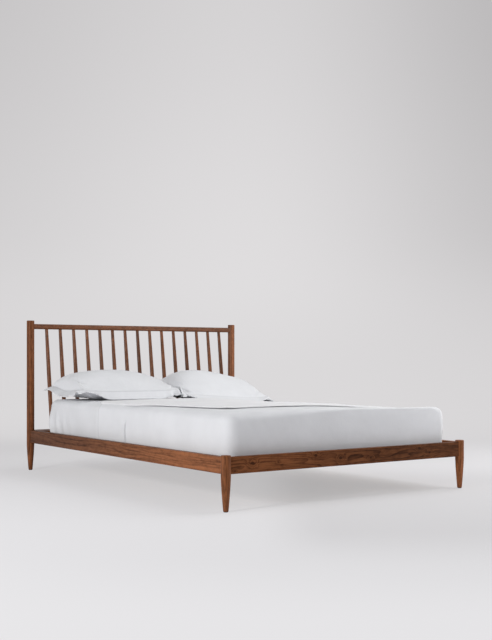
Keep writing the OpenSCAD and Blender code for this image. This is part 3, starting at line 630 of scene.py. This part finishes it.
def ring_points(inset, grow, head=None):
    """Rounded rectangles drawn in by each inset, anticlockwise. With head they are open there,
    running from the right side's head edge round the foot end to the left side's."""
    half_w = np.maximum(HALF_W + grow - inset, 0)[:, None]
    half_l = (HALF_L + grow - inset)[:, None]
    corner = np.maximum(CORNER_R + grow - inset, 0.012)[:, None]
    corner = np.minimum(corner, half_w)
    turn = np.linspace(0, np.pi / 2, 9)[None, :]
    # Each corner's side across and along, and the quarter turn at which its arc starts
    signs = {
        "head_right": (1, 1, 0),
        "head_left": (-1, 1, 1),
        "foot_left": (-1, -1, 2),
        "foot_right": (1, -1, 3),
    }

    def arc(name):
        across, along, quarter = signs[name]
        angle = turn + quarter * np.pi / 2
        x = across * (half_w - corner) + corner * np.cos(angle)
        y = along * (half_l - corner) + corner * np.sin(angle)
        return np.stack([x, y], -1)

    def straight(a, b, count, also=()):
        """Points from one arc to the next, closer near both, and at the extra places."""
        u = np.linspace(0, 1, count + 1)[1:-1]
        u = u - 0.75 * np.sin(2 * np.pi * u) / (2 * np.pi)
        share = np.sort(np.concatenate([u, also]))[None, :, None]
        return a[:, -1:] * (1 - share) + b[:, :1] * share

    foot_left, foot_right = arc("foot_left"), arc("foot_right")
    foot = straight(foot_left, foot_right, END_QUADS)
    if head is None:
        head_right, head_left = arc("head_right"), arc("head_left")
        parts = [
            head_right,
            straight(head_right, head_left, END_QUADS),
            head_left,
            straight(head_left, foot_left, SIDE_QUADS),
            foot_left,
            foot,
            foot_right,
            straight(foot_right, head_right, SIDE_QUADS),
        ]
    else:
        end = np.full_like(half_w, head - MID_Y)
        left_end = np.stack([-half_w, end], -1)
        right_end = np.stack([half_w, end], -1)
        parts = [
            left_end,
            straight(left_end, foot_left, OPEN_SIDE_QUADS, CREASE_AT + CREASE_STEPS),
            foot_left,
            foot,
            foot_right,
            straight(foot_right, right_end, OPEN_SIDE_QUADS),
            right_end,
        ]
    ring = np.concatenate(parts, 1)
    ring[..., 1] += MID_Y
    return ring


def crown(x, y):
    """The top's rise from its edges, highest in the middle, less its fall to the right."""
    across = 1 - np.abs(x / HALF_W) ** 2.2
    along = 1 - np.abs((y - MID_Y) / HALF_L) ** 6
    return CROWN * np.clip(across, 0, 1) * np.clip(along, 0, 1) - fall(x, y)


def shell_points(grow, tuck, head=None):
    """The points of a skin that stands off the mattress by grow. The crown fades out down the
    sides."""
    inset, z = profile(grow, tuck)
    ring = ring_points(inset, grow, head)
    x, y = ring[..., 0], ring[..., 1]
    height = np.repeat(z[:, None], x.shape[1], 1)
    upper = smooth(LOW_Z + 0.05, TOP_Z, height)
    return np.stack([x, y, height + crown(x, y) * upper], -1)


def outward(points):
    """Unit normals of a grid of points, from the differences along its rows and columns."""
    along = np.gradient(points, axis=1)
    up = np.gradient(points, axis=0)
    normal = np.cross(along, up)
    length = np.linalg.norm(normal, axis=-1, keepdims=True)
    return normal / np.maximum(length, 1e-9)


def sheet_side(z):
    """1 on the sides of the bed, 0 on its top and underside."""
    return smooth(LOW_Z + 0.004, LOW_Z + 0.02, z) * (1 - smooth(TOP_Z - 0.03, TOP_Z + 0.002, z))


def make_mattress():
    """The mattress under its sheets: ticking with tufted dimples on its underside."""
    points = shell_points(-TICKING_IN, HALF_W)
    x, y, z = points[..., 0], points[..., 1], points[..., 2]
    dimple = np.cos(np.pi * x / TUFT_PITCH) * np.cos(np.pi * (y - MID_Y) / TUFT_PITCH)
    under = 1 - smooth(LOW_Z, LOW_Z + 0.003, z)
    points[..., 2] += TUFT_DEPTH * under * np.clip(dimple, 0, 1) ** 8
    cloth = cotton("ticking", TICKING, thread=0.0011, rumple=0.3)
    piece = mesh_object("mattress_body", points, grid_faces(*x.shape, True), cloth)
    tidy(piece)
    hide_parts("mattress")
    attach(piece, "bedding")


# The gathers of the fitted sheet, and how far from a corner they and the top sheet's drags reach
GATHER_PITCH = 0.085
GATHER_DEPTH = 0.016
CORNER_REACH = 0.22


def make_fitted_sheet():
    """A stretched sheet. Elastic gathers it below each corner, in folds that fade upwards and
    away from the corner, and it lies bare at the head end."""
    points = shell_points(FITTED_OUT, TUCK)
    x, y, z = points[..., 0], points[..., 1], points[..., 2]
    far_x = HALF_W - np.abs(x)
    far_y = HALF_L - np.abs(y - MID_Y)
    from_corner = far_x + far_y
    fade = np.exp(-((from_corner / CORNER_REACH) ** 2))
    lower = 1 - smooth(LOW_Z + 0.06, TOP_Z - 0.03, z)
    # The folds lean towards the corner as they rise
    lean = from_corner + 0.30 * (z - LOW_Z)
    ripple = np.cos(2 * np.pi * (lean - 0.06) / GATHER_PITCH + 0.8 * wander(z, 0.5, 3))
    bare = smooth(SHEET_EDGE - 0.01, SHEET_EDGE + 0.03, y)
    fold = GATHER_DEPTH * (0.5 + 0.5 * ripple) ** 2 * fade * lower
    drag = 0.0009 * (1 + wander(y + 0.5 * z, 0.21, 5))
    points += outward(points) * ((fold + drag) * sheet_side(z) * bare)[..., None]
    cloth = cotton("percale_fitted", WHITE)
    piece = mesh_object("fitted_sheet_cloth", points, grid_faces(*x.shape, True), cloth)
    tidy(piece)
    solidify(piece, FITTED_T)
    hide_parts("fitted_sheet")
    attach(piece, "bedding")


# The top sheet, tucked in at the sides and the foot, with a wide layer turned down on top

TURN_T = 0.0055
TURN_HEM = -0.75
# The pleat on the left side: its crease, its ridges ahead of it and behind it as (depth, rise
# from the crease, length), and the height over which it fades out
CREASE_Y = -0.056
RIDGE_AHEAD = 0.0120, (0, 0.004), 0.060
RIDGE_BEHIND = 0.0060, (0.001, 0.006), 0.035
PLEAT_FADE = 0.31, 0.37
# The crease's place between the sheet's head edge and the foot corner, and rows close by it
CREASE_AT = (SHEET_EDGE - CREASE_Y) / (SHEET_EDGE - (MID_Y - HALF_L) - CORNER_R)
CREASE_STEPS = np.linspace(-0.008, 0.008, 9)
HEM_W = 0.028
HEM_T = 0.0016
DRAG_PITCH = 0.075
# How much of the foot edge's rounding is drawn tight
FOOT_TIGHT = 0.92


def top_height(x, y):
    """The top sheet's upper surface, with its rounded fall at the sides."""
    radius = EDGE_R + TOP_OUT
    over = np.clip(np.abs(x) - (HALF_W - EDGE_R), 0, 0.9 * radius)
    return TOP_Z + TOP_OUT + crown(x, y) - radius + np.sqrt(radius**2 - over**2)


def turn_inset(y, left):
    """How far the turned-down layer's side edges lie from the mattress's sides: the left one
    starts on the rounded edge at the fold and draws in towards the hem."""
    drawn = np.clip((-0.1 - y) / 0.67, 0, None) ** 1.6
    return np.where(left, 0.014 + 0.128 * drawn, 0.040 + 0.03 * drawn)


def make_top_sheet_points():
    """The top sheet's points, and how near each is to its crease or hem, for the painted shade
    there.
    """
    points = shell_points(TOP_OUT, TUCK, SHEET_EDGE)
    x, y, z = points[..., 0], points[..., 1], points[..., 2]
    # The upper edge at the foot is drawn tighter towards the right: its rounding shrinks
    tight = FOOT_TIGHT * smooth(-0.65, 0.15, x) * smooth(-0.55, -0.9, y)
    tight *= 1 - smooth(0.57, 0.65, x)
    drop = np.clip(TOP_Z + TOP_OUT + crown(x, y) - z, 0, EDGE_R)
    inward = np.clip(y - (MID_Y - HALF_L - TOP_OUT), 0, EDGE_R)
    fade = smooth(LOW_Z + 0.03, TOP_Z - EDGE_R, z)
    z += tight * drop * fade
    high = smooth(TOP_Z - EDGE_R - 0.01, TOP_Z - EDGE_R + 0.005, z)
    y -= tight * inward * high * (1 - smooth(-0.97, -0.9, y))
    side = sheet_side(z)
    left = smooth(0.3, 0.6, -x)
    # A pleat on the left side, where the sheet was tucked in: a ridge each side of a groove
    pleat = 0
    for way, (depth, rise, length) in ((1, RIDGE_AHEAD), (-1, RIDGE_BEHIND)):
        off = np.clip(way * (y - CREASE_Y), 0, None)
        pleat = pleat + depth * smooth(*rise, off) * np.exp(-off / length)
    pleated = (1 - smooth(*PLEAT_FADE, z)) * left * side
    lift = pleat * pleated
    # A hem along the head edge
    to_edge = SHEET_EDGE - y
    lift += HEM_T * (1 - smooth(HEM_W - 0.003, HEM_W + 0.003, to_edge)) * side
    # Soft drags that lean away from the foot corners, and slow waves on the sides
    far_x = HALF_W - np.abs(x)
    far_y = y - (MID_Y - HALF_L)
    from_corner = far_x + far_y
    fan = np.exp(-((from_corner / CORNER_REACH) ** 2))
    drag = 0.5 + 0.5 * np.cos(2 * np.pi * (from_corner + 0.55 * (z - LOW_Z)) / DRAG_PITCH)
    lift += 0.0016 * drag * fan * side
    lift += 0.0010 * (1 + wander(y + 0.3 * z, 0.43, 11)) * side
    lift += 0.0010 * (1 + wander(x - 0.4 * z, 0.37, 12)) * side
    lift += 0.0007 * (1 + wander(x + 0.6 * y, 0.52, 13)) * (1 - side) * (z > LOW_Z + 0.05)
    # Painted shade along the pleat's crease and the hem's stitch line: the cloth's finish darkens
    # there
    crease = hump(CREASE_Y, 0.004, y) * pleated
    seam = np.maximum(hump(HEM_W, 0.0025, to_edge), crease)
    return points + outward(points) * lift[..., None], seam


def make_turn_down_points():
    """The turned-down layer: a slab with rounded edges that lies on the top sheet. Its head
    edge is the fold, and its other edges wander a little."""
    across, along = np.linspace(-1, 1, 121), np.linspace(0, 1, 101)
    p, q = np.meshgrid(across, along, indexing="xy")
    fold_y = SHEET_EDGE - 0.001
    length = fold_y - TURN_HEM
    y = fold_y - q * length + 0.006 * wander(p, 0.9, 21) * q
    half = HALF_W - turn_inset(y, p < 0) + 0.004 * wander(q, 0.5, 22) * np.abs(p)
    x = p * half
    to_side = half * (1 - np.abs(p))
    to_fold = q * length
    to_hem = (1 - q) * length
    edge = np.minimum(np.minimum(to_side, to_hem), to_fold)
    # By the fold, the layer's left edge is smoothed down on the rounded edge of the bed
    pressed = smooth(-0.12, 0.03, y) * (p < 0)
    reach = np.where(edge == to_side, 1.4 * TURN_T + 0.07 * pressed, 1.4 * TURN_T)
    round_edge = np.sqrt(np.clip(1 - (1 - np.clip(edge / reach, 0, 1)) ** 2, 0, 1))
    swell = 1 + 0.5 * np.exp(-to_side / 0.04) + 0.5 * np.exp(-to_fold / 0.03)
    base = top_height(x, y) + 0.0012 - 0.0022 * pressed * np.exp(-to_side / 0.03)
    # Further on, its left edge and its hem stand a little off the sheet
    loose = smooth(0.06, -0.12, y)
    base += 0.0052 * loose * (p < 0) * np.exp(-to_side / 0.022)
    base += 0.003 * loose * np.exp(-to_hem / 0.022)
    wave = 0.0006 * (1 + wander(x + 0.7 * y, 0.33, 23))
    top = base + (TURN_T * swell + wave) * round_edge
    upper = np.stack([x, y, top], -1)
    lower = np.stack([x, y, base], -1)
    return upper, lower


def two_layers(rows, cols):
    """The quads of two grids of the same size, the second one turned over."""
    second = grid_faces(rows, cols, start=rows * cols)
    return np.concatenate([grid_faces(rows, cols), second[:, ::-1]])


def make_top_sheet():
    """The top sheet, and the layer that is turned down on it."""
    points, seam = make_top_sheet_points()
    cloth = cotton("percale_top", WHITE, painted_seam_shade="seam")
    piece = mesh_object("top_sheet_cloth", points, grid_faces(*seam.shape), cloth)
    mark_seam_shade(piece, seam)
    tidy(piece)
    solidify(piece, TOP_T)
    upper, lower = make_turn_down_points()
    faces = two_layers(*upper.shape[:2])
    # The turned-down layer is the top sheet's own cloth, painted lighter
    painted_lighter_cloth = cotton("percale_turned_painted_light", TURNED_PAINTED_LIGHT_WHITE)
    layer = mesh_object("turned_down_layer", np.concatenate([upper, lower]), faces, painted_lighter_cloth)
    tidy(layer, 1e-6)
    for thing in (piece, layer):
        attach(thing, "bedding")
    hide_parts("top_sheet")


# The pillows: a filled case inside a flat flange

PILLOW_L = 0.620
PILLOW_W = 0.420
FLANGE = 0.050
SEAM_RISE = 0.048
CASE_T = 0.005
# Each pillow's place and fullness. side is the way to its outer end, sink lowers its front
# seam, outer and inner steepen its ends, and skew moves its crest along and across. end_drop is
# how far the outer flange droops at the front and at the back. stand, curl and fan raise the
# inner flange, lift the front's outer corner and spread its inner one. ruffles are the front
# flange's, as (place along s, width, lift off the sheet, depth of the waves).
LEFT = dict(
    side=-1,
    node="pillow_left",
    sink=0.0,
    centre=(-0.346, 0.691),
    crest=0.164,
    outer=0.36,
    inner=0.44,
    skew=(0.11, -0.08),
    seed=31,
    end_drop=(0.034, 0.015),
    stand=-0.30,
    curl=0.028,
    fan=0.0,
    ruffles=((-1.14, 0.48, 0.034, 0.008), (1.0, 0.24, 0.010, 0.014)),
)
RIGHT = dict(
    side=1,
    node="pillow_right",
    sink=0.024,
    centre=(0.315, 0.692),
    crest=0.177,
    outer=0.29,
    inner=0.70,
    skew=(-0.15, -0.22),
    seed=47,
    end_drop=(0.046, 0.020),
    stand=0.85,
    curl=0.0,
    fan=0.36,
    ruffles=((1.0, 0.22, 0.003, 0.012), (-0.86, 0.09, 0.010, 0.003)),
)


def pillow_steps(count, rim):
    """Steps from one flange edge to the other: -2 to -1 over the first flange, -1 to 1 between
    the seams, closer near them, and 1 to 2 over the other flange."""
    flange = np.linspace(1, 2, rim + 1)[1:]
    between = np.sin(np.linspace(-np.pi / 2, np.pi / 2, count + 1))
    return np.concatenate([-flange[::-1], between, flange])


def make_pillow_points(shape):
    """The upper and lower surface of a pillow, as two grids.

    s runs along the pillow and t across it, from -1 to 1 between the seams, with s = 1 next to
    the other pillow and t = -1 at the front. The seams rise off the sheet, and between them the
    case swells by a product of two round-topped curves, whose middles are skewed by
    s + k (1 - s^2). Past a seam the flange runs on: drooping at the outer end, up at the inner
    end, and down to the sheet at the front, with ruffles at its corners. The front's outer
    corner may curl up, and its inner one may fan out.
    """
    base = float(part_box(shape["node"])[0][2])
    s, t = np.meshgrid(pillow_steps(96, 10), pillow_steps(64, 10), indexing="ij")
    in_s, in_t = np.clip(s, -1, 1), np.clip(t, -1, 1)
    past_s, past_t = np.clip(np.abs(s) - 1, 0, 1), np.clip(np.abs(t) - 1, 0, 1)
    outer, inner, front = s < 0, s > 0, t < 0
    # The flange's free edge at the front: how high it hangs, and the depth of its waves
    lift = sum(high * plateau(at, wide, s) for at, wide, high, _ in shape["ruffles"])
    depth = 0.0022 + sum(deep * plateau(at, wide, s) for at, wide, _, deep in shape["ruffles"])
    rise = SEAM_RISE - shape["sink"] * smooth(0.5, -1.0, t)
    fallen = np.clip((rise - lift) / FLANGE, 0, 0.937)
    spread = 0.3 + shape["fan"] * (smooth(-0.4, -1.1, t) + 0.25 * past_t * front)
    reach_s = np.where(outer, 0.92, spread) * FLANGE
    reach_t = np.where(front, np.sqrt(1 - fallen**2), 0.9 - 0.6 * smooth(-0.2, -1.2, s)) * FLANGE
    drawn_x = 1 - 0.03 * (1 - in_t**2) * np.abs(in_s)
    drawn_y = 1 - 0.04 * (1 - in_s**2) * np.abs(in_t)
    x = (in_s * PILLOW_L / 2 + np.sign(s) * past_s * reach_s) * drawn_x
    y = (in_t * PILLOW_W / 2 + np.sign(t) * past_t * reach_t) * drawn_y
    seam = rise * np.maximum(np.abs(in_s), np.abs(in_t)) ** 4
    raised = 0.011 * smooth(0.2, -1.0, t) + 0.020 * smooth(0.1, 0.9, t) * outer
    seam += np.abs(in_s) ** 5 * raised
    ripple = np.sin(2 * np.pi * s / 0.15 + shape["seed"]) + 0.5 * wander(s, 0.4, shape["seed"])
    slack = 0.004 * wander(t, 0.55, shape["seed"] + 1)
    near, far = shape["end_drop"]
    end_drop = far + (near - far) * smooth(0.9, 0.1, t)
    stood = np.where(inner, shape["stand"] * FLANGE * past_s, 0)
    z = seam + stood - np.where(outer, end_drop, 0) * past_s
    lowered = np.where(front, lift - rise - stood, -0.35 * FLANGE)
    z += lowered * past_t * (1 - 0.85 * past_s * outer)
    z += np.where(outer, slack, 0.3 * slack) * past_s
    z += np.where(front, 0.45 * depth * np.abs(ripple), 0.0015 * ripple) * past_t
    z += shape["curl"] * past_s * outer * smooth(-0.72, -1.12, t)
    fanned = past_s * inner * smooth(-0.3, -0.9, t)
    x += shape["fan"] * 0.014 * np.sin(2 * np.pi * t / 0.22) * fanned
    y -= np.where(front, depth * ripple, 0) * past_t**1.5
    x -= 0.005 * np.sin(2 * np.pi * t / 0.5 + 1) * past_s * outer
    z = np.where(outer & (past_s > 0), z, np.maximum(z, 0))
    skew_s, skew_t = shape["skew"]
    bent_s = in_s + skew_s * (1 - in_s**2)
    bent_t = in_t + skew_t * (1 - in_t**2)
    inwards = 0.5 + 0.5 * np.sin(np.pi / 2 * in_s)
    backwards = 0.5 + 0.5 * np.sin(np.pi / 2 * in_t)
    ends = shape["outer"] + (shape["inner"] - shape["outer"]) * inwards
    full = np.clip(1 - np.abs(bent_s) ** 2.4, 0, 1) ** ends
    full *= np.clip(1 - np.abs(bent_t) ** 2.2, 0, 1) ** (1 - 0.5 * backwards)
    up = np.where(inner, past_s, 0)
    down = np.where(front, past_t, 0)
    swell = (shape["crest"] - CASE_T) * full
    top = z + CASE_T * (1 - 0.8 * up) + swell
    upper = np.stack([x - CASE_T * up, y - 0.7 * CASE_T * down, top], -1)
    lower = np.stack([x, y, z], -1)
    for grid in (upper, lower):
        grid[..., 0] = shape["centre"][0] - shape["side"] * grid[..., 0]
        grid[..., 1] += shape["centre"][1]
        grid[..., 2] += base - fall(grid[..., 0], grid[..., 1])
    past = np.maximum(np.abs(s), np.abs(t))
    # Painted shade along the seam round the case and, fainter, near the flange's edge: the
    # cloth's finish darkens there
    painted_seam_shade_line = hump(1.07, 0.05, past) + 0.35 * hump(1.8, 0.05, past)
    free = (np.abs(s) < 0.97) & (np.abs(t) < 0.97)
    return upper, lower, painted_seam_shade_line, free


# The pillow case as cloth, and how far the swelling may move a point
COTTON_CASE = dict(
    quality=6,
    mass=0.2,
    tension_stiffness=25,
    compression_stiffness=12,
    shear_stiffness=8,
    bending_stiffness=0.35,
    use_pressure=True,
    uniform_pressure_force=4.0,
    shrink_min=-0.025,
)
PUFF_STEPS = 20
PUFF_CAP = 0.008


def puff(piece, held):
    """Lets the case swell under a little pressure as cloth, with some spare cloth that wrinkles,
    and caps how far each point may move."""
    before = np.zeros(len(piece.data.vertices) * 3, np.float32)
    piece.data.vertices.foreach_get("co", before)
    before = before.reshape(-1, 3)
    group = piece.vertex_groups.new(name="held")
    group.add([int(i) for i in np.flatnonzero(held)], 1.0, "REPLACE")
    cloth = piece.modifiers.new("cloth", "CLOTH")
    for key, value in COTTON_CASE.items():
        setattr(cloth.settings, key, value)
    cloth.settings.effector_weights.gravity = 0
    cloth.settings.vertex_group_mass = "held"
    scene = bpy.context.scene
    for step in range(1, PUFF_STEPS + 1):
        scene.frame_set(step)
    shown = piece.evaluated_get(bpy.context.evaluated_depsgraph_get())
    after = np.zeros_like(before.ravel())
    shown.data.vertices.foreach_get("co", after)
    moved = after.reshape(-1, 3) - before
    length = np.linalg.norm(moved, axis=1, keepdims=True)
    limit = PUFF_CAP * np.tanh(length / PUFF_CAP)
    moved *= limit / np.maximum(length, 1e-9)
    piece.modifiers.remove(cloth)
    scene.frame_set(1)
    piece.data.vertices.foreach_set("co", (before + moved).ravel())
    piece.data.update()


def rim_faces(rows, cols):
    """The quads that join two grids of the same size all round their edges."""
    around = np.concatenate(
        [
            np.arange(rows) * cols,
            (rows - 1) * cols + np.arange(1, cols),
            (np.arange(rows - 1)[::-1]) * cols + cols - 1,
            np.arange(1, cols - 1)[::-1],
        ]
    )
    onward = np.roll(around, -1)
    return np.stack([around, onward, onward + rows * cols, around + rows * cols], -1)


def make_pillow(shape, material):
    """A pillow: its two surfaces joined round the flange's edge, puffed and then refined."""
    upper, lower, painted_seam_shade_line, free = make_pillow_points(shape)
    rows, cols = upper.shape[:2]
    faces = np.concatenate([two_layers(rows, cols), rim_faces(rows, cols)])
    piece = mesh_object(shape["node"] + "_case", np.concatenate([upper, lower]), faces, material)
    mark_seam_shade(piece, np.stack([painted_seam_shade_line, painted_seam_shade_line]))
    tidy(piece, merge=None)
    # Only the upper side between the seams is free to move
    held = np.concatenate([~free.ravel(), np.ones(rows * cols, bool)])
    puff(piece, held)
    subdivide(piece, 1)
    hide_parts(shape["node"])
    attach(piece, shape["node"])


# Floor, backdrop and light

FLOOR = srgb(233, 232, 234)
WALL = srgb(223, 221, 222)
# The colour that the painted shade and the painted shadow in the backdrop's glow turn towards
PAINTED_SHADE_GREY = srgb(190, 188, 189)
# The sweep's distance from the eye, the radius of its bend, its height and half its width
WALL_FAR = 11.0
WALL_BEND = 2.5
WALL_HIGH = 9.0
WALL_HALF = 12.0


def make_stage():
    """A floor that sweeps up into a backdrop behind the bed, square to the camera's heading.
    Its glow carries painted shade, darker towards the wall's sides and top and low on the wall,
    and a painted shadow in a band on the floor to the right of the bed."""
    ahead = np.array([math.sin(HEADING), math.cos(HEADING), 0])
    right = np.array([math.cos(HEADING), -math.sin(HEADING), 0])
    turn = np.linspace(0, np.pi / 2, 24)
    bent = WALL_FAR - WALL_BEND + WALL_BEND * np.sin(turn)
    distance = np.concatenate([[-3.0, 0.0, 4.0], bent, [WALL_FAR]])
    height = np.concatenate([[0.0, 0.0, 0.0], WALL_BEND * (1 - np.cos(turn)), [WALL_HIGH]])
    across = np.linspace(-WALL_HALF, WALL_HALF, 3)
    eye = np.array([EYE[0], EYE[1], 0])
    points = (
        eye
        + distance[:, None, None] * ahead
        + across[None, :, None] * right
        + height[:, None, None] * np.array([0, 0, 1.0])
    )
    material = bpy.data.materials.new("backdrop")
    material.use_nodes = True
    n = Nodes(material.node_tree)
    material.node_tree.nodes.clear()
    place = object_coordinates(n)
    along = n.vector("DOT_PRODUCT", place, tuple(ahead))
    sideways = n.vector("DOT_PRODUCT", place, tuple(right))
    up = n.add("ShaderNodeSeparateXYZ", {0: place}).outputs["Z"]
    start = float(eye @ ahead)
    colour = n.mix(n.ramp(along, start + 4.2, start + 9.0), FLOOR, WALL)
    off = n.maths("SUBTRACT", sideways, float(eye @ right))
    # Painted shade in the backdrop's glow: darker towards the wall's sides and top, and low on
    # the wall
    painted_shade = n.maths("MULTIPLY", n.ramp(off, 0.0, 3.4), 0.80)
    painted_shade = n.maths("MULTIPLY_ADD", n.ramp(off, 0.0, -3.4), 0.42, painted_shade)
    painted_shade = n.maths("MULTIPLY", painted_shade, n.ramp(up, 0.3, 2.2, 0.2, 1.0))
    painted_shade = n.maths("MULTIPLY_ADD", n.ramp(up, 1.4, 5.0), 0.36, painted_shade)
    painted_shade = n.maths("MULTIPLY_ADD", n.ramp(up, 1.5, 0.5), 0.12, painted_shade)
    painted_shade = n.maths("MULTIPLY", painted_shade, n.ramp(along, start + 6.0, start + 10.0))
    # A painted shadow of the bed in a band on the floor to its right
    near, far = n.ramp(along, start + 3.3, start + 4.1), n.ramp(along, start + 6.6, start + 5.6)
    painted_bed_shadow = n.maths("MULTIPLY", n.maths("MULTIPLY", near, far), n.ramp(off, 0.0, 0.35))
    painted_shade = n.maths("MULTIPLY_ADD", painted_bed_shadow, 0.50, painted_shade)
    colour = n.mix(painted_shade, colour, PAINTED_SHADE_GREY)
    diffuse = n.add("ShaderNodeBsdfDiffuse", {"Color": FLOOR})
    glow = n.add("ShaderNodeEmission", {"Color": colour, "Strength": 1.0})
    path = n.add("ShaderNodeLightPath").outputs
    seen = n.maths("MAXIMUM", path["Is Camera Ray"], path["Is Glossy Ray"])
    # The floor round the bed keeps more of its own light, so that the bed's shadow shows
    share = n.ramp(along, start + 7.5, start + 9.5, 0.62, 1.0)
    share = n.maths("MULTIPLY_ADD", n.ramp(along, start + 3.6, start + 2.6), 0.28, share)
    share = n.maths("MULTIPLY", seen, share)
    shown = n.add("ShaderNodeMixShader", {0: share, 1: diffuse.outputs[0], 2: glow.outputs[0]})
    n.add("ShaderNodeOutputMaterial", {0: shown.outputs[0]})
    backdrop = mesh_object("backdrop", points, grid_faces(len(distance), len(across)), material)


def make_lamp(name, place, aim, size, power):
    """An oblong lamp at a place, turned towards its aim."""
    data = bpy.data.lights.new(name, "AREA")
    data.shape = "RECTANGLE"
    data.size, data.size_y = size
    data.energy = power
    lamp = bpy.data.objects.new(name, data)
    lamp.location = place
    lamp.rotation_euler = (Vector(aim) - Vector(place)).to_track_quat("-Z", "Y").to_euler()
    bpy.context.scene.collection.objects.link(lamp)


# Each lamp's name, place, aim, size in metres and power in watts
LAMPS = [
    ("key", (-5.0, -1.7, 2.1), (0.0, 0.0, 0.3), (0.6, 0.6), 117),
    ("low_left", (-3.7, 0.4, 0.45), (-0.68, 0.2, 0.33), (3.0, 0.6), 15),
    ("fill", (2.6, -2.7, 1.0), (0.7, -0.9, 0.3), (1.2, 1.2), 26),
    ("overhead", (2.3, -0.9, 3.4), (0.0, 0.1, 0.4), (3.0, 3.0), 99),
]
SKY_STRENGTH = 0.20


def make_light():
    """The lamps, and a dim even world."""
    for lamp in LAMPS:
        make_lamp(*lamp)
    world = bpy.data.worlds.new("studio")
    bpy.context.scene.world = world
    world.use_nodes = True
    sky = world.node_tree.nodes["Background"]
    sky.inputs["Color"].default_value = (0.98, 0.98, 1.0, 1)
    sky.inputs["Strength"].default_value = SKY_STRENGTH


make_camera()
make_stage()
make_light()
dress_frame()
dress_base()
make_mattress()
make_fitted_sheet()
make_top_sheet()
pillow_cloth = cotton("percale_pillow", WHITE, rumple=0.5, painted_seam_shade="seam")
make_pillow(LEFT, pillow_cloth)
make_pillow(RIGHT, pillow_cloth)

bpy.context.scene.view_settings.view_transform = "Standard"
